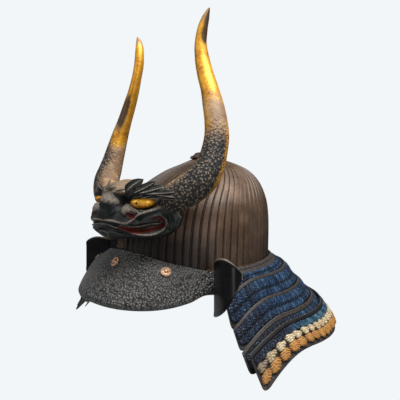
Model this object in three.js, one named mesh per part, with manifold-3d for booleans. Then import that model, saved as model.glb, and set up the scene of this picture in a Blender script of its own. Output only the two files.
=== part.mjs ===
// A kabuto: a ridged iron bowl with a peak, a horned crest mask, turned-back wings and a laced neck guard.
// Millimetres, +Z up. The front of the helmet faces -Y and the wearer's left side is +X.
// The origin is the middle of the opening, at the height of the bowl's lower edge.

import * as THREE from "three";
import { mergeVertices } from "three/addons/utils/BufferGeometryUtils.js";
import Module from "manifold-3d";

const GAP = 0.3; // air left between pieces that touch

const PLATES = 68; // upright iron plates of the bowl
const RIDGE = 2.6; // how far each plate's turned edge stands out
const RIDGE_SHARE = 0.2; // part of a plate's width that its turned edge falls away in
const BOWL_WALL = 2.5;
const CROWN_FADE = { from: 150, to: 168 }; // heights between which the ridges die out
const RING_CENTRE_Y = 33; // the crown ring stands behind the middle of the bowl

const RIM_BAND = { out: 1.2, wall: 3, height: 12.7 };

const VISOR_END = 65; // degrees from the front to each end of the visor, along the bowl
const VISOR_SHEET = 2;
const VISOR_EDGE = { half: 114, depth: 140, back: -55, sweep: 88, bulge: 0.06 };
const RIVET = { radius: 6.5, height: 3.4 };
const RIVETS = [
  { name: "rivet_center", angle: 0, down: 0.33, lift: 1.6 },
  { name: "rivet_left", angle: 38, down: 0.2, lift: 0.7 },
  { name: "rivet_right", angle: -38, down: 0.2, lift: 0.7 },
];

const MASK_AXIS_Y = -80; // the mask's face is rounded about an upright line here
const MASK_RADIUS = 93;
const MASK_SPAN = 77; // degrees that the face reaches to each side
const MASK_BACK = RIDGE + 1; // clear of the bowl's ridges
const EYE = { angle: 41.5, height: 96.5, inset: 7, half: 19, tall: 9, deep: 10, slant: 4 };
const SOCKET_GAP = 0.4;

const POST = { width: 14, thick: 3.2, bottom: 28.5, top: 104, stand: RIDGE + 0.5 };

const DROOP = { from: -3, end: -25 }; // angles between which a lame droops towards its front end
const LAME = { sheet: 1.6, strip: 1.4, chamfer: 0.04, clear: 0.5 };

// The bowl at each height: half its width, and where its front and its back stand.
const BOWL = [
  { z: 0, half: 116, front: -143, back: 143 },
  { z: 40, half: 116.5, front: -141, back: 144 },
  { z: 75, half: 114.5, front: -132, back: 143 },
  { z: 100, half: 108, front: -111, back: 138 },
  { z: 127, half: 91, front: -69, back: 126 },
  { z: 146, half: 71, front: -35, back: 107 },
  { z: 157, half: 50, front: -8, back: 85 },
  { z: 167, half: 25, front: 12, back: 58 },
  { z: 171, half: 14, front: 19, back: 47 },
];
const BOWL_OUTER = [0, 55, 90, 118, 140, 158, 171];
const BOWL_INNER = [171, 140, 90, 0];

// The crown ring's outline, from its axis outwards.
const CROWN_RING = [
  { radius: 13.5, z: 171.8 },
  { radius: 13.5, z: 176 },
  { radius: 16, z: 177.5 },
  { radius: 19, z: 176.5 },
  { radius: 22, z: 172.8 },
  { radius: 26, z: 171 },
  { radius: 27.5, z: 167.2 },
];

// The visor along its length, as shares of the way from the middle to an end: the heights of its top
// and its lower edge, and how much it swells over the eyes.
const VISOR = [
  { share: 0, top: 27, edge: -43, swell: 0 },
  { share: 0.31, top: 22, edge: -44, swell: 0.45 },
  { share: 0.58, top: 11.5, edge: -43.5, swell: 1 },
  { share: 0.77, top: 5, edge: -39, swell: 0.7 },
  { share: 0.88, top: 0.5, edge: -33, swell: 0.4 },
  { share: 1, top: -3, edge: -36, swell: 0.2 },
];
// The visor from its top to its lower edge: how far down it has come, and how far out
// where it is plain and where it swells most.
const VISOR_SECTION = [
  { row: 0, down: 0, plain: 0, swollen: 0 },
  { row: 1, down: 0.13, plain: 0.07, swollen: 0.42 },
  { row: 2, down: 0.27, plain: 0.17, swollen: 0.64 },
  { row: 3, down: 0.47, plain: 0.43, swollen: 0.83 },
  { row: 4, down: 0.68, plain: 0.77, swollen: 0.96 },
  { row: 5, down: 0.88, plain: 1, swollen: 1.02 },
  { row: 6, down: 1, plain: 0.97, swollen: 0.98 },
];

// What stands out of the face (rise over 0) or is sunk into it, at an angle from the front and a height.
// Each is a soft mound of these half sizes; "lean" moves its height by that much for each degree.
const MASK_MOUNDS = [
  { name: "nose ball", angle: 0, z: 90, across: 13, tall: 15, rise: 13, lean: 0 },
  { name: "nose bridge", angle: 0, z: 110, across: 15, tall: 15, rise: 3, lean: 0 },
  { name: "nostril wing", angle: 24, z: 85, across: 10, tall: 11, rise: 9, lean: -0.4 },
  { name: "nostril hollow", angle: 29, z: 80, across: 6, tall: 5, rise: -9, lean: -0.5 },
  { name: "cheek", angle: 62, z: 88, across: 17, tall: 8, rise: 6, lean: 0 },
  { name: "jaw corner", angle: 68, z: 66, across: 10, tall: 16, rise: 6, lean: 0 },
  { name: "jaw", angle: 40, z: 50, across: 34, tall: 7, rise: 6, lean: 0 },
  { name: "muzzle", angle: 38, z: 76, across: 22, tall: 28, rise: 4, lean: 0 },
  { name: "chin", angle: 0, z: 52, across: 12, tall: 8, rise: 4, lean: 0 },
  { name: "upper lip", angle: 14, z: 71, across: 16, tall: 4, rise: 7, lean: 0 },
  { name: "lip roll", angle: 48, z: 79, across: 17, tall: 6, rise: 5, lean: 0.3 },
  { name: "lower lip", angle: 20, z: 62, across: 18, tall: 4, rise: 6, lean: -0.3 },
  { name: "mouth", angle: 43, z: 65, across: 21, tall: 6, rise: -11, lean: 0.25 },
  { name: "brow", angle: 42, z: 110, across: 24, tall: 8, rise: 3, lean: 0 },
  { name: "eye hollow", angle: 41, z: 97, across: 20, tall: 10, rise: -4, lean: 0 },
];
// The face's lower and upper edges at each angle from the front.
const MASK_EDGE = [
  { angle: 0, bottom: 42.5, top: 129 },
  { angle: 12, bottom: 44, top: 127.5 },
  { angle: 22, bottom: 46, top: 121 },
  { angle: 32, bottom: 46.5, top: 115 },
  { angle: 46, bottom: 46, top: 113 },
  { angle: 58, bottom: 49.5, top: 111 },
  { angle: 66, bottom: 54, top: 107 },
  { angle: 72, bottom: 61, top: 101 },
  { angle: 77, bottom: 70, top: 92 },
];
// How far the face stands back towards its lower and its upper edge.
const MASK_SET_BACK = [
  { in: 0, low: 10, high: 34 },
  { in: 5, low: 3, high: 17 },
  { in: 14, low: 0, high: 5 },
  { in: 28, low: 0, high: 0 },
];
const MASK_ROOT = { y: -20, share: 0.2, top: 62, bottom: 50 }; // where the mask's block ends, inside the bowl
const MASK_COLUMNS = 30;
const MASK_ROWS = 16;

// A brow's leaves: each runs from its root to its tip, over the face.
const BROW_LEAVES = [
  { from: { angle: 27, z: 108 }, to: { angle: 38, z: 127 }, width: 13 },
  { from: { angle: 27, z: 106 }, to: { angle: 53, z: 123 }, width: 11 },
  { from: { angle: 28, z: 104 }, to: { angle: 60, z: 117 }, width: 10 },
  { from: { angle: 30, z: 105 }, to: { angle: 60, z: 107 }, width: 7 },
];
const BROW = { lift: 2.5, thick: 4, edge: 1.6, lean: { from: 106, share: 0.35 } };
const LEAF_OUTLINE = [
  { share: 0, full: 0.7 },
  { share: 0.2, full: 0.8 },
  { share: 0.65, full: 0.8 },
  { share: 1, full: 0.02 },
];

// A horn from its root to its tip: the middle line and its two diameters.
const HORN = [
  { z: 104.4, x: 86, y: -114.6, wide: 43, deep: 43 },
  { z: 116.9, x: 106, y: -103.2, wide: 45, deep: 45 },
  { z: 130.5, x: 118.6, y: -94, wide: 44, deep: 43 },
  { z: 147, x: 123, y: -85, wide: 40, deep: 40 },
  { z: 164, x: 123.9, y: -78.5, wide: 37.2, deep: 36.5 },
  { z: 188, x: 122.7, y: -71.5, wide: 34.9, deep: 32.7 },
  { z: 212, x: 117.1, y: -67.1, wide: 32.5, deep: 28.4 },
  { z: 236, x: 108.6, y: -63.7, wide: 30.3, deep: 24.1 },
  { z: 260, x: 99.2, y: -61, wide: 26.3, deep: 22.1 },
  { z: 284, x: 89, y: -59.4, wide: 24.5, deep: 19.1 },
  { z: 308, x: 81.2, y: -58.2, wide: 21.8, deep: 16.7 },
  { z: 332, x: 76.5, y: -56.6, wide: 18.2, deep: 16.6 },
  { z: 356, x: 78.2, y: -54, wide: 15.3, deep: 14.9 },
  { z: 370, x: 82, y: -52, wide: 11.5, deep: 11.5 },
  { z: 380, x: 86.5, y: -51, wide: 5.5, deep: 6 },
  { z: 384, x: 89, y: -51, wide: 2, deep: 2 },
];
const HORN_STEPS = 24;
const HORN_CROWDING = 1.15; // over 1, the steps are closer together near the root
const HORN_SIDES = 10;
const HORN_ACROSS = new THREE.Vector3(1, 1, 0).normalize(); // the line that a horn's wide diameter follows

// A wing from its root beside the visor, out to its fold, and back along the turned leaf.
const WING = [
  { x: 118, y: -66, top: -1, bottom: -58 },
  { x: 130, y: -85, top: 16, bottom: -58 },
  { x: 150, y: -99, top: 25, bottom: -50 },
  { x: 166, y: -106, top: 29, bottom: -40 },
  { x: 173, y: -104, top: 27, bottom: -32 },
  { x: 179, y: -97, top: 20, bottom: -16 },
  { x: 181, y: -86, top: 9, bottom: 2 },
];
const WING_SHEET = 2;

// Each lame's upper and lower edge: half its width, its depth to the back, and its height
// at the side, at the back and at its front ends, where it also flares out by a share of its radius.
// "start" gives the angle of its front end on the wearer's left, from +X towards +Y, and
// "strip" the share of its width that is a raised strip along its upper edge.
const LAMES = [
  {
    top: { half: 120, depth: 147, side: -3, back: 3, front: -8, flare: 0 },
    foot: { half: 145, depth: 165, side: -18, back: -17, front: -46, flare: 0 },
    start: { top: -24, foot: -24 },
    strip: 0.2,
  },
  {
    top: { half: 146, depth: 167, side: -13, back: -12, front: -41, flare: 0.01 },
    foot: { half: 168, depth: 186, side: -41, back: -44, front: -83, flare: 0.03 },
    start: { top: -24, foot: -24 },
    strip: 0.2,
  },
  {
    top: { half: 169, depth: 188, side: -36, back: -39, front: -74, flare: 0.03 },
    foot: { half: 190, depth: 206, side: -61, back: -65, front: -101, flare: 0.04 },
    start: { top: -24, foot: -24 },
    strip: 0.2,
  },
  {
    top: { half: 191, depth: 208, side: -56, back: -60, front: -96, flare: 0.04 },
    foot: { half: 211, depth: 226, side: -84, back: -92, front: -122, flare: 0.05 },
    start: { top: -24, foot: -23.5 },
    strip: 0.2,
  },
  {
    top: { half: 206, depth: 222, side: -61, back: -70, front: -90, flare: 0.055 },
    foot: { half: 230, depth: 243, side: -93, back: -116, front: -127, flare: 0.075 },
    start: { top: -24, foot: -22.5 },
    strip: 0.12,
  },
];
// What lies on the lames' outer faces, from their upper edges (0) to their lower (1).
const ON_LAMES = [
  { name: "lacing_1", lame: 0, from: 0.48, to: 0.88, thick: 2, finish: "blue" },
  { name: "lacing_2", lame: 1, from: 0.24, to: 0.84, thick: 2, finish: "blue" },
  { name: "lacing_3", lame: 2, from: 0.24, to: 0.84, thick: 2, finish: "blue" },
  { name: "lacing_4", lame: 3, from: 0.24, to: 0.8, thick: 2, finish: "blue" },
  { name: "lacing_5", lame: 4, from: 0.16, to: 0.36, thick: 2, finish: "blue" },
  { name: "knots_upper", lame: 4, from: 0.38, to: 0.58, thick: 4, finish: "orange" },
  { name: "knots_lower", lame: 4, from: 0.6, to: 0.89, thick: 5, finish: "orange" },
];
const SHOULDER = 0.12; // part of a row's width that each of its edges slopes over
const GUARD_STEPS = 22;

const FINISH = {
  iron: { color: 0x5a4636, roughness: 0.6, metalness: 0.6 },
  pebbled: { color: 0x3b3a39, roughness: 0.5, metalness: 0.4 },
  gilt: { color: 0xc98b5f, roughness: 0.35, metalness: 0.9 },
  lacquer: { color: 0x1b1f1e, roughness: 0.4, metalness: 0.1 },
  gold: { color: 0xe0a52c, roughness: 0.35, metalness: 0.7 },
  horn: { color: 0x8a7355, roughness: 0.6, metalness: 0.3 },
  gloss: { color: 0x0c0c0e, roughness: 0.15, metalness: 0.1 },
  lame: { color: 0x3d3531, roughness: 0.4, metalness: 0.2 },
  blue: { color: 0x1d3a5f, roughness: 0.85, metalness: 0 },
  orange: { color: 0xc08a45, roughness: 0.85, metalness: 0 },
};

const wasm = await Module();
wasm.setup();

const radians = THREE.MathUtils.degToRad;
const vec = (x, y, z) => new THREE.Vector3(x, y, z);
const kabuto = new THREE.Group();

function add(name, geometry, finish) {
  const mesh = new THREE.Mesh(geometry, new THREE.MeshStandardMaterial(FINISH[finish]));
  mesh.name = name;
  kabuto.add(mesh);
}

// One column of a table at a place between its rows, on a smooth curve through them.
function read(rows, key, column, at) {
  const last = rows.length - 1;
  const place = THREE.MathUtils.clamp(at, rows[0][key], rows[last][key]);
  const i = Math.max(rows.findIndex((row) => row[key] >= place) - 1, 0);
  const slope = (n) => {
    const before = rows[Math.max(n - 1, 0)];
    const after = rows[Math.min(n + 1, last)];
    return (after[column] - before[column]) / (after[key] - before[key]);
  };
  const width = rows[i + 1][key] - rows[i][key];
  const t = (place - rows[i][key]) / width;
  const p = rows[i][column];
  const q = rows[i + 1][column];
  const m = slope(i) * width;
  const n = slope(i + 1) * width;
  return p + t * m + t * t * (3 * (q - p) - 2 * m - n) + t * t * t * (2 * (p - q) + m + n);
}

function steps(count, from, to) {
  return Array.from({ length: count + 1 }, (_, i) => from + ((to - from) * i) / count);
}

function around(count) {
  return steps(count, 0, 360).slice(0, count);
}

function signedVolume(positions, index) {
  const corner = (i) => vec(...positions.slice(index[i] * 3, index[i] * 3 + 3));
  let total = 0;
  for (let i = 0; i < index.length; i += 3) {
    total += corner(i).dot(corner(i + 1).cross(corner(i + 2)));
  }
  return total / 6;
}

// A closed body from its points and faces, turned to face outwards.
function body(points, index) {
  const positions = points.flatMap((p) => [p.x, p.y, p.z]);
  if (signedVolume(positions, index) < 0) index.reverse();
  const geometry = new THREE.BufferGeometry();
  geometry.setAttribute("position", new THREE.Float32BufferAttribute(positions, 3));
  geometry.setIndex(index);
  return geometry;
}

// A ladder of faces between the two halves of a section with so many points.
function ladder(count) {
  return Array.from({ length: count / 2 - 1 }).flatMap((_, i) => [
    [i, i + 1, count - 2 - i],
    [i, count - 2 - i, count - 1 - i],
  ]);
}

// A fan of faces from the first to the last two points of a section with so many points.
function fan(count) {
  return Array.from({ length: count - 2 }, (_, i) => [0, i + 1, i + 2]);
}

// A body through sections with the same number of points each, with the faces that close its ends.
// Without such faces it is a loop, its last section joined to its first.
function sweep(sections, ends = []) {
  const n = sections[0].length;
  const index = [];
  const stretches = ends.length ? sections.length - 1 : sections.length;
  for (let s = 0; s < stretches; s++) {
    const here = s * n;
    const next = ((s + 1) % sections.length) * n;
    for (let i = 0; i < n; i++) {
      const j = (i + 1) % n;
      index.push(here + i, here + j, next + j, here + i, next + j, next + i);
    }
  }
  const last = (sections.length - 1) * n;
  for (const [a, b, c] of ends) index.push(c, b, a, last + a, last + b, last + c);
  return body(sections.flat(), index);
}

function solidOf(geometry) {
  const bare = geometry.clone();
  bare.deleteAttribute("normal");
  bare.deleteAttribute("uv");
  const merged = mergeVertices(bare, 1e-3);
  return new wasm.Manifold(
    new wasm.Mesh({
      numProp: 3,
      vertProperties: merged.attributes.position.array,
      triVerts: new Uint32Array(merged.index.array),
    }),
  );
}

function geometryOf(solid) {
  const mesh = solid.getMesh();
  const geometry = new THREE.BufferGeometry();
  geometry.setAttribute("position", new THREE.BufferAttribute(mesh.vertProperties, 3));
  geometry.setIndex(new THREE.BufferAttribute(mesh.triVerts, 1));
  return geometry;
}

// A point of the surface "at(u, v)", moved along the surface's normal.
function lifted(at, u, v, lift, toward) {
  const step = 1e-3;
  const normal = at(u + step, v)
    .sub(at(u - step, v))
    .cross(at(u, v + step).sub(at(u, v - step)))
    .normalize();
  const point = at(u, v);
  if (normal.dot(point.clone().sub(toward)) < 0) normal.negate();
  return point.addScaledVector(normal, lift);
}

// The bowl without its ridges, at an angle from +X towards +Y, moved out level by so much.
function bowlPoint(angle, z, out = 0) {
  const half = read(BOWL, "z", "half", z) + out;
  const front = read(BOWL, "z", "front", z) - out;
  const back = read(BOWL, "z", "back", z) + out;
  const turn = radians(angle);
  return vec(half * Math.cos(turn), (front + back) / 2 + ((back - front) / 2) * Math.sin(turn), z);
}

function bowl() {
  const middle = vec(0, 0, 60);
  const column = (angle, ridge) => {
    const outer = BOWL_OUTER.map((z) => {
      const fade = 1 - THREE.MathUtils.smoothstep(z, CROWN_FADE.from, CROWN_FADE.to);
      return bowlPoint(angle, z, ridge * fade);
    });
    const inner = BOWL_INNER.map((z) =>
      lifted(bowlPoint, angle, z, -BOWL_WALL, middle).setZ(Math.max(z - BOWL_WALL, 0)),
    );
    return [...outer, ...inner];
  };
  const pitch = 360 / PLATES;
  const columns = [];
  for (let plate = 0; plate < PLATES; plate++) {
    const joint = 90 + (plate + 0.5) * pitch;
    columns.push(column(joint, RIDGE), column(joint + RIDGE_SHARE * pitch, 0));
  }
  return sweep(columns);
}

// A plain closed solid of the bowl's outer shape, used to cut what lies on it.
function bowlCore(out) {
  const heights = [-20, 0, 20, 40, 58, 75, 88, 100, 114, 127, 137, 146];
  const sections = heights.map((z) =>
    around(48).map((angle) => bowlPoint(angle, Math.max(z, 0), out).setZ(z)),
  );
  return sweep(sections, ladder(sections[0].length));
}

function rimBand() {
  const { out, wall, height } = RIM_BAND;
  return sweep(
    around(36).map((angle) => [
      bowlPoint(angle, 0, out).setZ(-GAP),
      bowlPoint(angle, 0, out).setZ(-height),
      bowlPoint(angle, 0, out - wall).setZ(-height),
      bowlPoint(angle, 0, out - wall).setZ(-GAP),
    ]),
  );
}

function crownRing() {
  const outline = CROWN_RING.map((row) => new THREE.Vector2(row.radius, row.z)).reverse();
  return new THREE.LatheGeometry([...outline, outline[0]], 16)
    .rotateX(Math.PI / 2)
    .translate(0, RING_CENTRE_Y, 0);
}

// The visor's outer face: u from -1 to 1 along it, v from 0 at its top to 1 at its lower edge.
function visorPoint(u, v) {
  const share = Math.abs(u);
  const upper = read(VISOR, "share", "top", share);
  const lower = read(VISOR, "share", "edge", share);
  const top = bowlPoint(u * VISOR_END - 90, Math.max(upper, 0), RIDGE + GAP + VISOR_SHEET);
  const turn = radians(u * VISOR_EDGE.sweep);
  const bulge = 1 + VISOR_EDGE.bulge * Math.sin(2 * turn) ** 2;
  const edgeX = VISOR_EDGE.half * Math.sin(turn) * bulge;
  const edgeY = VISOR_EDGE.back - VISOR_EDGE.depth * Math.cos(turn) * bulge;
  const row = v * (VISOR_SECTION.length - 1);
  const swell = read(VISOR, "share", "swell", share);
  const plain = read(VISOR_SECTION, "row", "plain", row);
  const out = plain + swell * (read(VISOR_SECTION, "row", "swollen", row) - plain);
  const down = read(VISOR_SECTION, "row", "down", row);
  const z = upper + (lower - upper) * down;
  return vec(top.x + (edgeX - top.x) * out, top.y + (edgeY - top.y) * out, z);
}

function visor() {
  const middle = vec(0, 0, -60);
  const down = steps(6, 0, 1);
  const sections = steps(24, -1, 1).map((u) => [
    ...down.map((v) => visorPoint(u, v)),
    ...down.toReversed().map((v) => lifted(visorPoint, u, v, -VISOR_SHEET, middle)),
  ]);
  return sweep(sections, ladder(sections[0].length));
}

function rivet({ angle, down, lift }) {
  const outline = [
    [0, 0],
    [RIVET.radius, 0],
    [RIVET.radius, 1],
    [RIVET.radius * 0.6, 1.8],
    [RIVET.radius * 0.4, RIVET.height],
    [0, RIVET.height],
  ].map(([radius, height]) => new THREE.Vector2(radius, height));
  const u = angle / VISOR_END;
  const middle = vec(0, 0, -60);
  const foot = lifted(visorPoint, u, down, lift, middle);
  const facing = lifted(visorPoint, u, down, lift + 1, middle).sub(foot);
  const turn = new THREE.Quaternion().setFromUnitVectors(vec(0, 1, 0), facing);
  return new THREE.LatheGeometry(outline, 12).applyQuaternion(turn).translate(foot.x, foot.y, foot.z);
}

// The crest post: a strap up the front of the bowl, grown by so much on all sides.
function crestPost(grow = 0) {
  const half = POST.width / 2 + grow;
  const front = (z, out) => bowlPoint(-90, z, out).y;
  const sections = steps(7, POST.bottom - grow, POST.top + grow).map((z) => {
    const inner = front(z, POST.stand - grow);
    const outer = front(z, POST.stand + POST.thick + grow);
    return [vec(-half, outer, z), vec(half, outer, z), vec(half, inner, z), vec(-half, inner, z)];
  });
  return sweep(sections, ladder(sections[0].length));
}

function hornRing(z, side, grow) {
  const at = (height) => vec(read(HORN, "z", "x", height), read(HORN, "z", "y", height), height);
  const top = HORN[HORN.length - 1].z;
  const along = at(Math.min(z + 1, top)).sub(at(Math.max(z - 1, HORN[0].z))).normalize();
  const wide = HORN_ACROSS.clone().addScaledVector(along, -HORN_ACROSS.dot(along)).normalize();
  const deep = along.clone().cross(wide);
  return around(HORN_SIDES).map((angle) => {
    const point = at(z);
    point.addScaledVector(wide, (read(HORN, "z", "wide", z) / 2 + grow) * Math.cos(radians(angle)));
    point.addScaledVector(deep, (read(HORN, "z", "deep", z) / 2 + grow) * Math.sin(radians(angle)));
    return point.setX(point.x * side);
  });
}

function horn(side, grow = 0) {
  const last = HORN[HORN.length - 1].z;
  const first = HORN[0].z;
  const sections = steps(HORN_STEPS, 0, 1).map((share) =>
    hornRing(first + (last - first) * share ** HORN_CROWDING, side, grow),
  );
  return sweep(sections, ladder(HORN_SIDES));
}

// How far the face is from the mask's axis, without what stands out of it.
function faceRadius(angle, z) {
  const low = z - read(MASK_EDGE, "angle", "bottom", Math.abs(angle));
  const high = read(MASK_EDGE, "angle", "top", Math.abs(angle)) - z;
  return MASK_RADIUS - read(MASK_SET_BACK, "in", "low", low) - read(MASK_SET_BACK, "in", "high", high);
}

// A point of the mask's face.
function facePoint(angle, z) {
  const side = Math.abs(angle);
  let radius = faceRadius(angle, z);
  for (const mound of MASK_MOUNDS) {
    const across = (side - mound.angle) / mound.across;
    const tall = (z - mound.z - mound.lean * (side - mound.angle)) / mound.tall;
    radius += mound.rise * Math.exp(-1.4 * (across * across + tall * tall));
  }
  const turn = radians(angle);
  return vec(radius * Math.sin(turn), MASK_AXIS_Y - radius * Math.cos(turn), z);
}

function eye(side, grow = 0) {
  const { angle, height, inset, half, tall, deep, slant } = EYE;
  const turn = radians(angle * side);
  const reach = MASK_RADIUS - inset;
  return new THREE.SphereGeometry(1, 12, 8)
    .scale(half + grow, deep + grow, tall + grow)
    .rotateY(radians(-slant * side))
    .rotateZ(turn)
    .translate(reach * Math.sin(turn), MASK_AXIS_Y - reach * Math.cos(turn), height);
}

// A leaf over the face, with a raised midrib, its outline full near the root and pointed at the tip.
function leaf({ from, to, width }, side) {
  const over = (angle, z, lift) => {
    const turn = radians(angle * side);
    const radius = MASK_RADIUS + BROW.lift + lift - Math.max(z - BROW.lean.from, 0) * BROW.lean.share;
    return vec(radius * Math.sin(turn), MASK_AXIS_Y - radius * Math.cos(turn), z);
  };
  const perDegree = radians(1) * MASK_RADIUS;
  const run = new THREE.Vector2((to.angle - from.angle) * perDegree, to.z - from.z).normalize();
  const sections = LEAF_OUTLINE.map(({ share, full }) => {
    const half = (width / 2) * full;
    const angle = from.angle + (to.angle - from.angle) * share;
    const z = from.z + (to.z - from.z) * share;
    const edge = (sign, lift) =>
      over(angle - (sign * half * run.y) / perDegree, z + sign * half * run.x, lift);
    const { thick, edge: rim } = BROW;
    return [edge(-1, 0), edge(-1, rim), over(angle, z, thick), edge(1, rim), edge(1, 0), over(angle, z, 0)];
  });
  return sweep(sections, ladder(sections[0].length));
}

function brow(side) {
  const leaves = BROW_LEAVES.map((row) => solidOf(leaf(row, side)));
  return geometryOf(leaves.reduce((joined, next) => joined.add(next)));
}

function mask() {
  const sections = steps(MASK_COLUMNS, -MASK_SPAN, MASK_SPAN).map((angle) => {
    const bottom = read(MASK_EDGE, "angle", "bottom", Math.abs(angle));
    const top = read(MASK_EDGE, "angle", "top", Math.abs(angle));
    const face = steps(MASK_ROWS, bottom, top).map((z) => facePoint(angle, z));
    const rootX = face[0].x * MASK_ROOT.share;
    const root = [MASK_ROOT.top, MASK_ROOT.bottom].map((z) => vec(rootX, MASK_ROOT.y, z));
    return [...face, ...root];
  });
  const block = solidOf(sweep(sections, fan(sections[0].length)));
  const cutters = [bowlCore(MASK_BACK), crestPost(SOCKET_GAP)];
  for (const side of [1, -1]) cutters.push(horn(side, SOCKET_GAP), eye(side, SOCKET_GAP));
  return geometryOf(cutters.reduce((solid, next) => solid.subtract(solidOf(next)), block));
}

// The wing's sheet: three points up its face and three down its back at each place along it.
function wing(side) {
  const at = (row, share) => vec(row.x, row.y, row.bottom + (row.top - row.bottom) * share);
  const sections = WING.map((row, i) => {
    const before = WING[Math.max(i - 1, 0)];
    const after = WING[Math.min(i + 1, WING.length - 1)];
    const inward = vec(before.y - after.y, after.x - before.x, 0).normalize().multiplyScalar(WING_SHEET);
    const face = [0, 0.5, 1].map((share) => at(row, share));
    return [...face, ...face.toReversed().map((p) => p.clone().add(inward))];
  });
  const turned = sections.map((section) => section.map((p) => p.clone().setX(p.x * side)));
  return sweep(turned, ladder(turned[0].length));
}

// How much of a lame's droop is reached at an angle, the same on both sides.
function droop(angle) {
  const fromSide = angle > 90 ? 180 - angle : angle;
  const share = Math.max((fromSide - DROOP.from) / (DROOP.end - DROOP.from), 0);
  return share * share;
}

function ringPoint(ring, angle) {
  const turn = radians(angle);
  const rise = Math.max(Math.sin(turn), 0);
  const z = ring.side + (ring.front - ring.side) * droop(angle) + (ring.back - ring.side) * rise;
  const reach = 1 + ring.flare * droop(angle);
  return vec(ring.half * Math.cos(turn) * reach, ring.depth * Math.sin(turn) * reach, z);
}

// A band along the neck guard on a lame, with an outline of shares down the lame and lifts off it.
function guardBand(index, outline) {
  const { top, foot, start } = LAMES[index];
  const sheet = (u, v) => {
    const end = start.top + (start.foot - start.top) * v;
    const angle = end + (180 - 2 * end) * u;
    return ringPoint(top, angle).lerp(ringPoint(foot, angle), v);
  };
  const middle = vec(0, 0, -80);
  const sections = steps(GUARD_STEPS, 0, 1).map((u) =>
    outline.map(({ share, lift }) => lifted(sheet, u, share, lift, middle)),
  );
  return sweep(sections, fan(outline.length));
}

// A lame has a row of points at each edge of what lies on it, so that their faces run side by side.
function lame(index) {
  const { sheet, strip, chamfer } = LAME;
  const raised = LAMES[index].strip;
  const edges = ON_LAMES.filter((row) => row.lame === index).flatMap((row) => [row.from, row.to]);
  const shares = [raised + chamfer, ...edges.filter((share) => share > raised + chamfer), 1];
  return guardBand(index, [
    { share: 0, lift: 0 },
    { share: 0, lift: sheet + strip },
    { share: raised, lift: sheet + strip },
    ...shares.map((share) => ({ share, lift: sheet })),
    { share: 1, lift: 0 },
  ]);
}

function onLame({ lame: index, from, to, thick }) {
  const foot = LAME.sheet + LAME.clear;
  const shoulder = (to - from) * SHOULDER;
  return guardBand(index, [
    { share: to, lift: foot },
    { share: to - shoulder, lift: foot + thick },
    { share: from + shoulder, lift: foot + thick },
    { share: from, lift: foot },
  ]);
}

add("bowl", bowl(), "iron");
add("rim_band", rimBand(), "iron");
add("crown_ring", crownRing(), "gilt");
add("visor", visor(), "pebbled");
for (const row of RIVETS) add(row.name, rivet(row), "gilt");
add("crest_post", crestPost(), "iron");
add("mask", mask(), "lacquer");
for (const [name, side] of [["left", 1], ["right", -1]]) {
  add(`eye_${name}`, eye(side), "gold");
  add(`brow_${name}`, brow(side), "lacquer");
  add(`horn_${name}`, horn(side), "horn");
  add(`wing_${name}`, wing(side), "gloss");
}
LAMES.forEach((row, i) => add(`lame_${i + 1}`, lame(i), "lame"));
for (const row of ON_LAMES) add(row.name, onLame(row), row.finish);

export default kabuto;
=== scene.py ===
import math

import bpy
import numpy as np
from mathutils import Matrix, Vector


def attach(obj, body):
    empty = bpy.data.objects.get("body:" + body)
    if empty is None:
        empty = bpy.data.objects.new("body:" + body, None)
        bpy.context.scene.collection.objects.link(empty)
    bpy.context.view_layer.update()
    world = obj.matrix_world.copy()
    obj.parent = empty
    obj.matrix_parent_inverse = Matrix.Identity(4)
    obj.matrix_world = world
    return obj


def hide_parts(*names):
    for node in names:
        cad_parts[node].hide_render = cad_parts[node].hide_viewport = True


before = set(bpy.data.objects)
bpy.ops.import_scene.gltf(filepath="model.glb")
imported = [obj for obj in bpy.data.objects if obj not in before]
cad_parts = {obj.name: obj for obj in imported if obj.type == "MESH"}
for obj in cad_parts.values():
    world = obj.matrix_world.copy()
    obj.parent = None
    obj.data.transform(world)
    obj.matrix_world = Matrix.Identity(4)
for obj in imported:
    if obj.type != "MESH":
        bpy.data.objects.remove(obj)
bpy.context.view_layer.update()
scene = bpy.context.scene
mm = 0.001

# ---- camera ----
view = {"place": (516.9, -498.5, 123.7), "turn": 45, "lens": 37.53, "drop": -0.0425}
bpy.ops.object.camera_add(
    location=Vector(view["place"]) * mm, rotation=(math.radians(90), 0, math.radians(view["turn"]))
)
camera = bpy.context.object
camera.data.lens = view["lens"]
camera.data.shift_y = view["drop"]
camera.data.clip_end = 60
scene.camera = camera
print("camera placed")


# ---- small tools ----
def hexColor(code):
    parts = [int(code[i:i + 2], 16) / 255 for i in (0, 2, 4)]
    linear = [c / 12.92 if c <= 0.04045 else ((c + 0.055) / 1.055) ** 2.4 for c in parts]
    return (*linear, 1.0)


def feed(tree, node, inputs):  # another node's output is linked, a number or colour is set
    for socket, value in inputs.items():
        if isinstance(value, bpy.types.NodeSocket):
            tree.links.new(value, node.inputs[socket])
        else:
            node.inputs[socket].default_value = value


def addNode(tree, kind, inputs=None, stops=(), out=0, **settings):  # gives the output that out names
    node = tree.nodes.new("ShaderNode" + kind)
    for key, value in settings.items():
        setattr(node, key, value)
    feed(tree, node, inputs or {})
    for i, (place, color) in enumerate(stops):
        stop = node.color_ramp.elements[i] if i < 2 else node.color_ramp.elements.new(place)
        stop.position = place
        stop.color = hexColor(color)
    return node.outputs[out]


def newMaterial(name):  # also its node tree, its shader and the place on the piece that patterns are laid on
    material = bpy.data.materials.new(name)
    material.use_nodes = True
    tree = material.node_tree
    return material, tree, tree.nodes["Principled BSDF"], addNode(tree, "TexCoord", out="Object")


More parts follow.
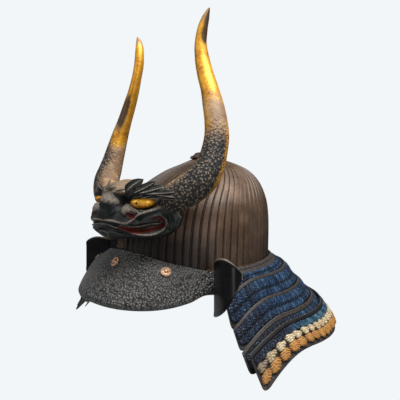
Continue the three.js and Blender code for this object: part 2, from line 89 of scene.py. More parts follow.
def curve(table, key, column, at):  # one column of a table, read on a smooth curve through its rows
    keys = np.array(table[key], float)
    values = np.array(table[column], float)
    place = np.clip(at, keys[0], keys[-1])
    before = np.maximum(np.arange(len(keys)) - 1, 0)
    after = np.minimum(np.arange(len(keys)) + 1, len(keys) - 1)
    slopes = (values[after] - values[before]) / (keys[after] - keys[before])
    i = np.clip(np.searchsorted(keys, place) - 1, 0, len(keys) - 2)
    width = keys[i + 1] - keys[i]
    t = (place - keys[i]) / width
    p, q = values[i], values[i + 1]
    m, n = slopes[i] * width, slopes[i + 1] * width
    return p + t * m + t * t * (3 * (q - p) - 2 * m - n) + t ** 3 * (2 * (p - q) + m + n)


def smooth(at, low, high):
    t = np.clip((at - low) / (high - low), 0, 1)
    return t * t * (3 - 2 * t)


def near(value, middle, half):
    return np.exp(-((value - middle) / half) ** 2)


def stack(x, y, z):
    x, y, z = np.broadcast_arrays(x, y, z)
    return np.stack([x, y, z], axis=-1)


def unit(vectors):
    return vectors / np.maximum(np.linalg.norm(vectors, axis=-1, keepdims=True), 1e-12)


def lifted(at, u, v, lift, toward):  # a surface's point, moved along its normal, away from "toward"
    step = 1e-4
    normal = unit(np.cross(at(u + step, v) - at(u - step, v), at(u, v + step) - at(u, v - step)))
    point = at(u, v)
    facing = np.sum(normal * (point - np.array(toward, float)), axis=-1, keepdims=True)
    return point + np.where(facing < 0, -normal, normal) * np.asarray(lift)[..., None]


def deselectAll():
    if bpy.context.object and bpy.context.object.mode != "OBJECT":
        bpy.ops.object.mode_set(mode="OBJECT")
    bpy.ops.object.select_all(action="DESELECT")


def pick(*pieces):  # selects these alone, the first of them active
    deselectAll()
    for piece in pieces:
        piece.select_set(True)
    bpy.context.view_layer.objects.active = pieces[0]


def joinPieces(pieces):
    pick(*pieces)
    bpy.ops.object.join()
    return pieces[0]


def pointsOf(piece):  # x, y and z of its points, in millimetres
    spots = np.empty(len(piece.data.vertices) * 3)
    piece.data.vertices.foreach_get("co", spots)
    return spots.reshape(-1, 3).T / mm


def gridPlaces(cells):  # u and v of each point of a grid
    u = np.tile(np.linspace(0, 1, cells[0] + 1), cells[1] + 1)
    return u, np.repeat(np.linspace(0, 1, cells[1] + 1), cells[0] + 1)


def shapedGrid(name, cells, place):  # a grid whose points are moved to place(u, v), in millimetres
    deselectAll()
    bpy.ops.mesh.primitive_grid_add(x_subdivisions=cells[0], y_subdivisions=cells[1], size=1)
    piece = bpy.context.object
    piece.name = piece.data.name = name
    spots = np.empty(len(piece.data.vertices) * 3)
    piece.data.vertices.foreach_get("co", spots)
    spots = spots.reshape(-1, 3)[:, :2] + 0.5
    piece.data.vertices.foreach_set("co", (place(spots[:, 0], spots[:, 1]) * mm).ravel())
    return piece


def setAttribute(piece, name, values):
    layer = piece.data.attributes.new(name, "FLOAT", "POINT")
    layer.data.foreach_set("value", np.asarray(values, float))


def closePiece(piece, holes=False, gap=1e-6):  # welds the seams, fills open ends and turns the faces outwards
    pick(piece)
    bpy.ops.object.mode_set(mode="EDIT")
    bpy.ops.mesh.select_all(action="SELECT")
    bpy.ops.mesh.remove_doubles(threshold=gap)
    if holes:
        bpy.ops.mesh.fill_holes(sides=0)
    bpy.ops.mesh.normals_make_consistent(inside=False)
    bpy.ops.object.mode_set(mode="OBJECT")
    bpy.ops.object.shade_smooth()


def finishPiece(piece, material, nodes, edge=None):
    pick(piece)
    if edge:
        bpy.ops.object.shade_smooth_by_angle(angle=math.radians(edge))
    piece.data.materials.clear()
    piece.data.materials.append(material)
    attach(piece, "root")
    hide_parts(*nodes)


# ---- russet iron: hammered plate, rusted on purpose and oiled: dull brown, nearly black in the joints ----
russetIron, tree, shader, where = newMaterial("russetIron")
patches = addNode(tree, "TexNoise", {"Vector": where, "Scale": 1000 / 40, "Detail": 5, "Roughness": 0.6})
skin = addNode(tree, "ValToRGB", {"Fac": patches}, stops=[(0.3, "433120"), (0.5, "5c4533"), (0.72, "78604a")])
grain = addNode(tree, "TexNoise", {"Vector": where, "Scale": 1000 / 1.8, "Detail": 3})
grainTone = addNode(tree, "MapRange",
                    {"Value": grain, "From Min": 0.3, "From Max": 0.7, "To Min": 0.72, "To Max": 1.25})
joint, paintedShade = (addNode(tree, "Attribute", out="Fac", attribute_name=name) for name in ("joint", "paintedShade"))
mottled = addNode(tree, "Mix", {0: 1.0, 6: skin, 7: grainTone}, out=2, data_type="RGBA",
                  blend_type="MULTIPLY")
# painted shade: the iron is darkened towards the rim and, at the front, below the mask, where shade falls
shadedSkin = addNode(tree, "Mix", {0: paintedShade, 6: mottled, 7: hexColor("120b07")}, out=2, data_type="RGBA")
color = addNode(tree, "Mix", {0: joint, 6: shadedSkin, 7: hexColor("130803")}, out=2, data_type="RGBA")
bump = addNode(tree, "Bump", {"Height": grain, "Strength": 0.4, "Distance": 0.25 * mm})
dull = addNode(tree, "MapRange", {"Value": patches, "To Min": 0.38, "To Max": 0.62})
feed(tree, shader, {"Base Color": color, "Roughness": dull, "Normal": bump, "Metallic": 0.3})

# ---- bowl ----
bowlPlates = {
    "z": [0, 40, 75, 100, 127, 146, 157, 167, 171],
    "half": [116, 116.5, 114.5, 108, 91, 71, 50, 25, 14],
    "front": [-143, -141, -132, -111, -69, -35, -8, 12, 19],
    "back": [143, 144, 143, 138, 126, 107, 85, 58, 47],
    "plates": 68, "ridge": 2.6, "wall": 2.5,
    # across one plate: place, how high its skin stands as a share of the ridge, how deep in the joint it is
    "across": [0, 0.03, 0.06, 0.1, 0.14, 0.19, 0.24, 0.36, 0.42, 0.48, 0.54, 0.8, 0.85, 0.89, 0.93, 0.97],
    "stand": [1, 0.95, 0.6, 0.05, -0.12, -0.05, 0.05, 0.14, 0.17, 0.2, 0.23, 0.36, 0.38, 0.3, 0.45, 0.95],
    "joint": [0.1, 0.25, 0.9, 1, 1, 0.6, 0, 0, 0, 0, 0, 0, 0, 0.55, 0.8, 0.3],
    # a second line, on the front of the crown only
    "second": [0, 0, 0, 0, 0, 0, 0, 0, 0.9, 0.9, 0, 0, 0, 0, 0, 0],
    "rows": 44, "innerRows": 8, "fade": (150, 168),  # between these heights the ridges die away
}


def bowlOval(z, out):  # half its width, its middle and half its depth at a height
    half = curve(bowlPlates, "z", "half", z) + out
    front = curve(bowlPlates, "z", "front", z) - out
    back = curve(bowlPlates, "z", "back", z) + out
    return half, (front + back) / 2, (back - front) / 2


def bowlAt(angle, z, out):  # this far out of the bowl's plain surface, at an angle from +X towards +Y
    half, middle, deep = bowlOval(z, out)
    turn = np.radians(angle)
    return stack(half * np.cos(turn), middle + deep * np.sin(turn), z)


def bowlSkin(u, v):
    count = len(bowlPlates["across"])
    column = np.rint(u * bowlPlates["plates"] * count).astype(int)
    plate, part = column // count, column % count
    pitch = 360 / bowlPlates["plates"]
    angle = 90 + (plate + 0.5 + np.array(bowlPlates["across"])[part]) * pitch
    stand = np.array(bowlPlates["stand"])[part] * bowlPlates["ridge"]
    rows, inner, wall = (bowlPlates[key] for key in ("rows", "innerRows", "wall"))
    crown = bowlPlates["z"][-1]
    row = np.rint(v * (rows + inner + 1))
    up = np.clip(row / rows, 0, 1)
    down = np.clip((row - rows - 1) / inner, 0, 1)
    z = np.where(row > rows, crown * (1 - down ** 1.5), crown * (1 - (1 - up) ** 1.6))
    z = np.where(row == rows + inner + 1, 0, z)
    outer = bowlAt(angle, z, stand * (1 - smooth(z, *bowlPlates["fade"])))
    hidden = bowlAt(angle, z, -wall) - stack(0, 0, (wall + 0.4) * smooth(z, 90, crown))
    return np.where((row > rows)[:, None], hidden, outer)


count = len(bowlPlates["across"])
cells = (bowlPlates["plates"] * count, bowlPlates["rows"] + bowlPlates["innerRows"] + 1)
bowl = shapedGrid("bowlShell", cells, bowlSkin)
x, y, height = pointsOf(bowl)
around = np.degrees(np.arctan2(x, -y))  # 0 at the front, positive towards the wearer's left
part = np.tile(np.arange(cells[0] + 1) % count, cells[1] + 1)
crownFront = smooth(height, 100, 120) * (1 - smooth(np.abs(around - 12), 30, 42))
joint = np.array(bowlPlates["joint"])[part] * (1 - smooth(height, 156, 170))
second = np.array(bowlPlates["second"])[part] * (1 - smooth(height, 150, 160)) * crownFront
setAttribute(bowl, "joint", np.maximum(joint, second))
# painted shade: darker towards the bowl's rim and, at the front, below the mask
front = 1 - smooth(np.abs(around), 30, 75)
paintedShade = 0.42 * (1 - smooth(height, 4, 70)) + 0.75 * front * (1 - smooth(height, 36, 62))
setAttribute(bowl, "paintedShade", np.clip(paintedShade, 0, 0.95))
closePiece(bowl)
finishPiece(bowl, russetIron, ["bowl"], edge=50)
print("bowl made")

# ---- gilt copper: cast and fire-gilded, the gold worn off its low places ----
giltCopper, tree, shader, where = newMaterial("giltCopper")
patches = addNode(tree, "TexNoise", {"Vector": where, "Scale": 1000 / 3, "Detail": 4})
skin = addNode(tree, "ValToRGB", {"Fac": patches}, stops=[(0.3, "76513e"), (0.5, "b08a6e"), (0.7, "d9bc98")])
feed(tree, shader, {"Base Color": skin, "Metallic": 0.55, "Roughness": 0.42})

# ---- smoked copper: the same casting left dark, with brown showing on its edges ----
smokedCopper, tree, shader, where = newMaterial("smokedCopper")
patches = addNode(tree, "TexNoise", {"Vector": where, "Scale": 1000 / 4, "Detail": 4})
skin = addNode(tree, "ValToRGB", {"Fac": patches}, stops=[(0.35, "2b211b"), (0.7, "6a5648")])
feed(tree, shader, {"Base Color": skin, "Metallic": 0.5, "Roughness": 0.45})

# ---- rim band ----
rimBand = {  # round its section: how far out of the bowl, and height
    "out": [1.2, 1.2, 0.4, -1.0, -1.8, -1.8, 1.2],
    "z": [-0.3, -11.9, -12.7, -12.7, -12.2, -0.3, -0.3],
}


def rimSkin(u, v):
    place = np.linspace(0, 1, len(rimBand["z"]))
    ring = bowlAt(u * 360, np.zeros_like(u), np.interp(v, place, rimBand["out"]))
    return stack(ring[..., 0], ring[..., 1], np.interp(v, place, rimBand["z"]))


rim = shapedGrid("rimBandShell", (180, 6), rimSkin)
closePiece(rim)
finishPiece(rim, russetIron, ["rim_band"], edge=40)

# ---- crown ring ----
crown = {
    "row": [0, 1, 2, 3, 4, 5, 6, 7],
    "radius": [13.5, 13.5, 16, 19, 22, 26, 27.5, 13.5],
    "z": [171.8, 176, 177.5, 176.5, 172.8, 171, 167.2, 171.8],
    "middle": 33, "petals": 16, "lobe": 0.03,
}


def crownSkin(u, v):
    row = v * crown["row"][-1]
    radius = np.interp(row, crown["row"], crown["radius"])
    z = np.interp(row, crown["row"], crown["z"])
    turn = u * 2 * np.pi
    petals = 1 + crown["lobe"] * np.cos(turn * crown["petals"]) * smooth(radius, 18, 26)
    return stack(radius * petals * np.cos(turn), crown["middle"] + radius * petals * np.sin(turn), z)


ring = shapedGrid("crownRingShell", (128, 35), crownSkin)
closePiece(ring)
finishPiece(ring, smokedCopper, ["crown_ring"], edge=40)

# ---- pebbled lacquer: raised into skin-like pebbles about 3 mm wide, each tip painted lighter as highlight, each hollow between them painted darker as shade ----
pebbledLacquer, tree, shader, where = newMaterial("pebbledLacquer")
warp = addNode(tree, "TexNoise", {"Vector": where, "Scale": 1000 / 7, "Detail": 2}, out="Color")
bent = addNode(tree, "Mix", {0: 0.004, 4: where, 5: warp}, out=1, data_type="VECTOR")
pebbles = addNode(tree, "TexVoronoi", {"Vector": bent, "Scale": 1000 / 3.2}, feature="F1")
dome = addNode(tree, "MapRange",
               {"Value": pebbles, "From Min": 0.0, "From Max": 0.8, "To Min": 1, "To Max": 0},
               interpolation_type="SMOOTHSTEP")
rubbed = addNode(tree, "Attribute", out="Fac", attribute_name="rubbed")
clouds = addNode(tree, "TexNoise", {"Vector": where, "Scale": 1000 / 30, "Detail": 3})
# painted light: dark in the hollows between pebbles as shade, light on their tips as highlight
pebbleLightAndShade = addNode(tree, "ValToRGB", {"Fac": dome},
                     stops=[(0.0, "1f1e1e"), (0.4, "4d4b49"), (1.0, "666360")])
smoothTone = addNode(tree, "ValToRGB", {"Fac": clouds}, stops=[(0.3, "545152"), (0.7, "7a7674")])
color = addNode(tree, "Mix", {0: rubbed, 6: pebbleLightAndShade, 7: smoothTone}, out=2, data_type="RGBA")
relief = addNode(tree, "MapRange", {"Value": rubbed, "To Min": 1, "To Max": 0.45})
bump = addNode(tree, "Bump", {"Height": dome, "Strength": relief, "Distance": 1.8 * mm})
feed(tree, shader, {"Base Color": color, "Normal": bump, "Roughness": 0.43})

# ---- visor ----
visorShape = {
    "turn": 65, "offBowl": 4.9,  # its upper edge: how far round the bowl it goes each way, how far off it
    "edgeTurn": 88, "half": 114, "depth": 140, "back": -55, "bulge": 0.06,  # the oval of its lower edge
}
visorTable = {
    "share": [0, 0.31, 0.58, 0.77, 0.88, 1],
    "top": [27, 22, 11.5, 5, 0.5, -3],
    "edge": [-43, -44, -43.5, -39, -33, -36],
    "swell": [0, 0.45, 1, 0.7, 0.4, 0.2],
}
visorRows = {
    "row": [0, 1, 2, 3, 4, 5, 6],
    "down": [0, 0.13, 0.27, 0.47, 0.68, 0.88, 1],
    "plain": [0, 0.07, 0.17, 0.43, 0.77, 1, 0.97],
    "swollen": [0, 0.42, 0.64, 0.83, 0.96, 1.02, 0.98],
}


def visorAt(u, v):
    share = np.abs(u)
    upper = curve(visorTable, "share", "top", share)
    lower = curve(visorTable, "share", "edge", share)
    top = bowlAt(u * visorShape["turn"] - 90, np.maximum(upper, 0), visorShape["offBowl"])
    turn = np.radians(u * visorShape["edgeTurn"])
    bulge = 1 + visorShape["bulge"] * np.sin(2 * turn) ** 2
    row = v * visorRows["row"][-1]
    swell = curve(visorTable, "share", "swell", share)
    plain = curve(visorRows, "row", "plain", row)
    out = plain + swell * (curve(visorRows, "row", "swollen", row) - plain)
    down = curve(visorRows, "row", "down", row)
    x = top[..., 0] + (visorShape["half"] * np.sin(turn) * bulge - top[..., 0]) * out
    y = top[..., 1] + (visorShape["back"] - visorShape["depth"] * np.cos(turn) * bulge - top[..., 1]) * out
    return stack(x, y, upper + (lower - upper) * down)


under = (0, 0, -60)  # a point below the visor, which its upper face looks away from


def visorSkin(u, v):
    across = np.interp(v, [0, 0.46, 0.5, 0.96, 1], [0, 1, 1, 0, 0])
    lift = np.interp(v, [0, 0.46, 0.48, 0.5, 0.96, 1], [0, 0, -0.7, -2, -2, 0])
    return lifted(visorAt, u * 1.998 - 0.999, across * 0.998 + 0.001, lift, under)


visor = shapedGrid("visorPlate", (240, 100), visorSkin)
x, y, z = pointsOf(visor)
setAttribute(visor, "rubbed", 0.75 * (1 - smooth(x - 0.25 * (z + 20), -70, -10)))
closePiece(visor, holes=True)
finishPiece(visor, pebbledLacquer, ["visor"], edge=50)
print("visor made")

# ---- rosette rivets ----
rosette = {
    "radius": [0, 1.8, 2.9, 3.3, 3.9, 5.4, 6.8, 7.7, 7.9, 7.5, 0],
    "height": [3.6, 3.2, 2.2, 1.0, 0.9, 1.7, 1.5, 0.8, 0.4, 0, 0],
    "petals": 12, "rise": 0.4,
}


def rosetteSkin(u, v):
    row = v * (len(rosette["radius"]) - 1)
    radius = np.interp(row, range(len(rosette["radius"])), rosette["radius"])
    height = np.interp(row, range(len(rosette["radius"])), rosette["height"])
    turn = u * 2 * np.pi
    petal = rosette["rise"] * np.cos(turn * rosette["petals"])
    height = height + petal * near(radius, 6.3, 1.3) * (height > 0.3)
    return stack(radius * np.cos(turn), radius * np.sin(turn), height)


rivets = {
    "rivet_center": {"angle": 0, "down": 0.33, "lift": 1.6},
    "rivet_left": {"angle": 38, "down": 0.2, "lift": 0.7},
    "rivet_right": {"angle": -38, "down": 0.2, "lift": 0.7},
}
rosetteBase = shapedGrid("rosetteBase", (72, 30), rosetteSkin)
closePiece(rosetteBase)
for name, row in rivets.items():
    u, v = np.array([row["angle"] / visorShape["turn"]]), np.array([row["down"]])
    foot = lifted(visorAt, u, v, row["lift"], under)[0]
    facing = lifted(visorAt, u, v, row["lift"] + 1, under)[0] - foot
    copy = rosetteBase.copy()
    copy.data = rosetteBase.data.copy()
    copy.name = copy.data.name = name + "Rosette"
    scene.collection.objects.link(copy)
    turn = Vector((0, 0, 1)).rotation_difference(Vector(facing)).to_matrix().to_4x4()
    copy.data.transform(Matrix.Translation(Vector(foot) * mm) @ turn)
    finishPiece(copy, giltCopper, [name], edge=40)
bpy.data.objects.remove(rosetteBase)

# ---- crest post ----
strap = {  # round its section: place, across, how far out of the bowl; then its lower and upper end
    "place": [0, 0.1, 0.4, 0.5, 0.6, 0.9, 1],
    "across": [-7, -7, 7, 7, 7, -7, -7],
    "out": [4.6, 6.3, 6.3, 4.6, 3.1, 3.1, 4.6],
    "bottom": 28.5, "top": 104,
}


def postSkin(u, v):
    z = strap["bottom"] + (strap["top"] - strap["bottom"]) * u
    front = bowlAt(np.full_like(u, -90.0), z, np.interp(v, strap["place"], strap["out"]))
    return stack(np.interp(v, strap["place"], strap["across"]), front[..., 1], z)


post = shapedGrid("crestPostStrap", (40, 40), postSkin)
closePiece(post, holes=True)
finishPiece(post, smokedCopper, ["crest_post"], edge=40)

# ---- worn lacquer: black-green urushi, rubbed to its beige clay ground on every crest, that lighter colour also a painted highlight on the crests, red in the mouth ----
wornLacquer, tree, shader, where = newMaterial("wornLacquer")
wearAndHighlight, red, ground = (addNode(tree, "Attribute", out="Fac", attribute_name=name)
                     for name in ("wearAndHighlight", "red", "ground"))
cloud = addNode(tree, "TexNoise", {"Vector": where, "Scale": 1000 / 14, "Detail": 4})
lacquerTone = addNode(tree, "ValToRGB", {"Fac": cloud}, stops=[(0.35, "0f1110"), (0.7, "232624")])
breakUp = addNode(tree, "TexNoise", {"Vector": where, "Scale": 1000 / 2.6, "Detail": 5, "Roughness": 0.7})
rubbed = addNode(tree, "Math", {0: wearAndHighlight, 1: breakUp}, operation="ADD")
wearAndHighlightShare = addNode(tree, "MapRange", {"Value": rubbed, "From Min": 0.8, "From Max": 1.35, "To Max": 0.8})
clayTone = addNode(tree, "ValToRGB", {"Fac": breakUp}, stops=[(0.35, "595047"), (0.65, "91867a")])
worn = addNode(tree, "Mix", {0: wearAndHighlightShare, 6: lacquerTone, 7: clayTone}, out=2, data_type="RGBA")
domeTone = addNode(tree, "ValToRGB", {"Fac": breakUp}, stops=[(0.3, "5d4c3b"), (0.7, "a18a6c")])
domed = addNode(tree, "Mix", {0: ground, 6: worn, 7: domeTone}, out=2, data_type="RGBA")
redTone = addNode(tree, "ValToRGB", {"Fac": cloud}, stops=[(0.3, "2c0a08"), (0.7, "5e1f17")])
painted = addNode(tree, "Mix", {0: red, 6: domed, 7: redTone}, out=2, data_type="RGBA")
dull = addNode(tree, "MapRange", {"Value": wearAndHighlightShare, "To Min": 0.46, "To Max": 0.7})
bump = addNode(tree, "Bump", {"Height": breakUp, "Strength": 0.3, "Distance": 0.5 * mm})
feed(tree, shader, {"Base Color": painted, "Specular IOR Level": 0.28, "Roughness": dull, "Normal": bump})

# ---- mask: a demon's face, carved as heights over an upright round block ----
maskShape = {
    "axis": -80, "radius": 93, "span": 77, "cells": (280, 300), "perDegree": 1.623,
    "turns": (0.68, 0.8, 0.97),  # where the skin leaves the face, starts down the back and comes home
    "edge": {
        "angle": [0, 12, 22, 32, 46, 58, 66, 72, 77],
        "bottom": [42.5, 44, 46, 46.5, 46, 49.5, 54, 61, 70],
        "top": [129, 127.5, 121, 115, 113, 111, 107, 101, 92],
    },
    "setBack": {"in": [0, 5, 14, 28], "low": [10, 3, 0, 0], "high": [34, 17, 5, 0]},
    "mounds": [  # angle, z, half sizes across and up, rise, lean, share of the rise kept on the right half
        (0, 120, 18, 6, 3, 0, 1), (26, 99, 9.5, 12, -12, 0, 1), (17.5, 96, 7, 13, -15, 0, 1),
        (62, 88, 17, 8, 5, 0, 1), (68, 66, 10, 16, 6, 0, 1), (40, 50, 34, 7, 6, 0, 0.6),
        (38, 76, 22, 28, 4, 0, 1), (0, 52, 12, 8, 4, 0, 1), (14, 71, 16, 5, 5, 0, 1),
        (48, 79, 17, 6, 3, 0.3, 1), (20, 62, 18, 4, 5, -0.3, 1), (43, 65, 21, 6, -8, 0.25, 0.2),
        (42, 110, 24, 8, 3, 0, 1), (41, 97, 21, 11, -5, 0, 1),
    ],
    "balls": [  # angle, z, how far out its middle is, half sizes across and up, its own half depth
        (0, 94, 76, 23, 20.5, 23.5), (26, 83.5, 84.5, 13.5, 12, 14),
    ],
    # what is carved in and left standing: rise, half width, wear and painted highlight, red, and its run as
    # angle and height
    "lines": [
        # upper lip, then the cheek ridge that goes on from it
        (4.0, 2.4, 1.0, 0, [(0, 71), (14, 71), (26, 68), (33, 75), (38, 82)]),
        (4.5, 3.6, 0.75, 0, [(38, 82), (48, 87), (58, 93), (67, 88), (71, 77)]),
        # nostril wing's upper edge, and the groove under the lip
        (2.2, 1.5, 0.9, 0, [(13, 83), (21, 94), (30, 91), (38, 82)]),
        (-4.5, 1.7, -1, 0, [(-8, 68), (8, 68), (19, 65)]),
        # lower lip, round the corner of the mouth, and the line of the teeth
        (4.2, 2.3, 0.8, 0, [(-12, 64), (6, 66), (22, 60), (42, 53), (55, 58), (60, 70), (55, 78)]),
        (2.6, 1.6, 0.8, 0, [(17, 66), (32, 63), (46, 67), (56, 68)]),
        # groove over the chin
        (-4.0, 2.2, -1, 0, [(-13, 53), (3, 60), (18, 57), (27, 53)]),
        # red of the mouth, low and high, and the roll of lip between
        (-8.0, 2.5, -1, 1, [(21, 62), (36, 58), (50, 62), (57, 66)]),
        (-5.0, 2.4, -1, 0.9, [(50, 75), (54, 76), (56, 73)]),
        (4.0, 2.6, 0.5, 0, [(33, 68), (43, 71), (52, 72)]),
        # groove from the nostril round the cheek
        (-6.0, 3.0, -1, 0, [(37, 75), (48, 81), (58, 84), (63, 74), (61, 61)]),
        # lower lid, edge of the brow, and the groove beside it
        (3.2, 1.7, 0.5, 0, [(28, 97), (36, 88), (46, 86), (54, 96)]),
        (0.8, 1.8, 0.9, 0, [(0, 108), (10, 112), (19, 112), (24, 100)]),
        (-3.5, 1.6, -1, 0, [(24, 111), (26, 100), (31, 92)]),
        # groove round the nose ball, and the red hollow of the nostril
        (-4.0, 1.8, -1, 0, [(0, 73), (10, 78), (16, 90), (15, 98)]),
        (-6.5, 3.0, -1, 1, [(28, 80), (32, 78)]),
        (-3.0, 1.8, -1, 0.5, [(30, 84), (34, 80)]),
        # curl on the chin
        (2.6, 1.5, 0.6, 0, [(0, 56), (7, 53), (5, 46), (2, 49)]),
        # wisps on the forehead, and the cuts between them
        (8, 1.6, 0.6, 0, [(0, 112), (1, 118), (0, 124)]),
        (6, 1.4, 0.6, 0, [(3, 112), (6, 117), (5, 122)]),
        (4, 1.3, 0.5, 0, [(7, 112), (10, 118)]),
        (-3.0, 0.9, -1, 0, [(2, 112), (3, 117), (2, 121)]),
        (-2.0, 1.4, -1, 0, [(5, 112), (8, 118)]),
        (2.2, 1.6, 0.5, 0, [(15, 114), (18, 118), (22, 114)]),
        (-2.5, 1.4, -1, 0, [(12, 112), (20, 114)]),
        (-2.0, 1.4, -0.6, 0, [(66, 60), (70, 75)]),
    ],
    "eye": {"angle": 38.8, "z": 96.5, "reach": 86, "half": 18.4, "deep": 10.4, "tall": 9.4, "slant": 4},
}


def lineGap(across, up, run):  # how far points are from a run of straight stretches
    nearest = np.full(np.shape(across), 1e9)
    for (ax, az), (bx, bz) in zip(run[:-1], run[1:]):
        dx, dz = bx - ax, bz - az
        t = np.clip(((across - ax) * dx + (up - az) * dz) / (dx * dx + dz * dz + 1e-9), 0, 1)
        nearest = np.minimum(nearest, np.hypot(across - ax - t * dx, up - az - t * dz))
    return nearest


def flowing(points):  # a smooth run through a few points
    p = np.array(points, float)
    p = np.vstack([2 * p[0] - p[1], p, 2 * p[-1] - p[-2]])
    t = np.linspace(0, 1, 6)[:-1, None]
    stretches = [
        b + 0.5 * t * (c - a) + t ** 2 * (a - 2.5 * b + 2 * c - 0.5 * d)
        + 0.5 * t ** 3 * (3 * b - a - 3 * c + d)
        for a, b, c, d in zip(p[:-3], p[1:-2], p[2:-1], p[3:])
    ]
    return np.vstack(stretches + [p[-2:-1]])


def carve(angle, z):  # the face's reach from the mask's axis, and its wear, red and bare ground
    side = np.abs(angle)
    per = maskShape["perDegree"]
    fromLow = z - curve(maskShape["edge"], "angle", "bottom", side)
    fromTop = curve(maskShape["edge"], "angle", "top", side) - z
    reach = maskShape["radius"] - curve(maskShape["setBack"], "in", "low", fromLow)
    reach = reach - curve(maskShape["setBack"], "in", "high", fromTop)
    for place, at, across, tall, rise, lean, kept in maskShape["mounds"]:
        a = (side - place) / across
        t = (z - at - lean * (side - place)) / tall
        reach = reach + rise * np.where(angle < 0, kept, 1) * np.exp(-1.4 * (a * a + t * t))
    wearAndHighlight = np.zeros_like(reach)
    for place, at, middle, across, tall, out in maskShape["balls"]:
        inside = 1 - ((side - place) * per / across) ** 2 - ((z - at) / tall) ** 2
        ball = middle + out * np.sqrt(np.maximum(inside, 0))
        blend = np.clip(0.5 + 0.5 * (ball - reach) / 1.5, 0, 1)
        reach = np.where(inside > 0, reach + (ball - reach) * blend + 1.5 * blend * (1 - blend), reach)
        # the top of each ball is painted lighter: partly rubbed to the clay, partly a painted highlight where
        # light falls from above
        wearAndHighlight = wearAndHighlight + 1.15 * smooth(inside, 0.0, 0.2) * smooth(z - at + 0.3 * side, -3, 13)
    red, high, low, rubbed = (np.zeros_like(reach) for _ in range(4))
    for rise, width, lineWearAndHighlight, tint, run in maskShape["lines"]:
        gap = lineGap(side * per, z, [(a * per, h) for a, h in flowing(run)]) / width
        high = np.maximum(high, rise * np.exp(-gap * gap))
        low = np.minimum(low, rise * np.exp(-gap * gap))
        # each crest line is painted lighter: rubbed clay and a painted highlight together
        rubbed = np.maximum(rubbed, lineWearAndHighlight * np.exp(-(gap * 1.2) ** 2))
        red = np.maximum(red, tint * smooth(-gap, -1.5, -0.8))
    relief = 0.4 + 0.35 * smooth(side, 4, 30) - 0.25 * smooth(side, 34, 46)
    reach = reach + (high + low) * relief * np.where(angle < 0, 1 - 0.8 * near(side, 46, 12), 1)
    wearAndHighlight = wearAndHighlight + rubbed + low * 0.2
    ground = smooth(z + 0.5 * np.abs(side - 8), 109, 118) * (1 - smooth(side, 24, 34)) * 0.85
    ground = ground * (1 - 0.8 * np.clip(high / 5 - low / 2, 0, 1))
    # the socket follows the eye's back
    eye = maskShape["eye"]
    slant = math.radians(eye["slant"])
    ex, ez = (side - eye["angle"]) * per, z - eye["z"]
    px = ex * math.cos(slant) - ez * math.sin(slant)
    pz = ex * math.sin(slant) + ez * math.cos(slant)
    inside = 1 - (px / eye["half"]) ** 2 - (pz / eye["tall"]) ** 2
    socket = eye["reach"] - 2 - eye["deep"] * np.sqrt(np.maximum(inside, 0))
    reach = np.where(inside > 0, np.minimum(reach, socket), reach)
    return reach, wearAndHighlight, red, ground


def bowlReach(angle, z, out):  # how far the bowl's skin is from the mask's axis
    half, middle, deep = bowlOval(z, out)
    turn = np.radians(angle)
    sx, sy = np.sin(turn) / half, -np.cos(turn) / deep
    oy = (maskShape["axis"] - middle) / deep
    a, b, c = sx * sx + sy * sy, 2 * sy * oy, oy * oy - 1
    return (-b + np.sqrt(np.maximum(b * b - 4 * a * c, 0))) / (2 * a)


def maskSkin(u, v):  # the face first, then over its top, down its hollow back and home along its lower edge
    angle = (u * 2 - 1) * maskShape["span"]
    bottom = curve(maskShape["edge"], "angle", "bottom", np.abs(angle))
    top = curve(maskShape["edge"], "angle", "top", np.abs(angle))
    face, fold, foot = maskShape["turns"]
    z = bottom + (top - bottom) * np.clip(v / face, 0, 1)
    reach = carve(angle, z)[0]
    backTop = top - 16
    backZ = backTop + (bottom + 3 - backTop) * np.interp(v, [fold, foot], [0, 1])
    clear = 3.9 + 3.4 * (1 - smooth(np.abs(angle), 5, 9))
    backReach = np.minimum(np.maximum(bowlReach(angle, backZ, clear), 12), reach - 2)
    over = np.interp(v, [face, fold], [0, 1])
    home = np.interp(v, [foot, 1], [0, 1])
    bulge = 3 * np.sin(np.pi * over)
    far = np.where(v <= face, reach, reach + (backReach - reach) * over + bulge)
    far = np.where(v >= foot, backReach + (carve(angle, bottom)[0] - backReach) * home, far)
    up = np.where(v <= face, z, z + (backZ - z) * over ** 1.6 + bulge)
    up = np.where(v >= foot, backZ + (bottom - backZ) * home, up)
    turn = np.radians(angle)
    return stack(far * np.sin(turn), maskShape["axis"] - far * np.cos(turn), up)


mask = shapedGrid("maskFace", maskShape["cells"], maskSkin)
x, y, z = pointsOf(mask)
tints = carve(np.degrees(np.arctan2(x, maskShape["axis"] - y)), z)[1:]
for name, values in zip(("wearAndHighlight", "red", "ground"), tints):
    setAttribute(mask, name, np.clip(values, -1, 1.2))
closePiece(mask, holes=True)
finishPiece(mask, wornLacquer, ["mask"], edge=60)
print("mask made")

# ---- gold leaf: laid over lacquer, left bright where it faces up and painted darker orange as shade towards its edges and lower side ----
goldLeaf, tree, shader, where = newMaterial("goldLeaf")
low, pupil = (addNode(tree, "Attribute", out="Fac", attribute_name=name) for name in ("low", "pupil"))
leafWear = addNode(tree, "TexNoise", {"Vector": where, "Scale": 1000 / 3, "Detail": 4})
wearAndShade = addNode(tree, "Math", {0: leafWear, 1: low}, operation="ADD")
leafTone = addNode(tree, "ValToRGB", {"Fac": wearAndShade},
                   stops=[(0.36, "eeb235"), (0.62, "cb8222"), (0.95, "6a3a10")])
color = addNode(tree, "Mix", {0: pupil, 6: leafTone, 7: hexColor("1c0a05")}, out=2, data_type="RGBA")
feed(tree, shader, {"Base Color": color, "Metallic": 0.35, "Roughness": 0.36})

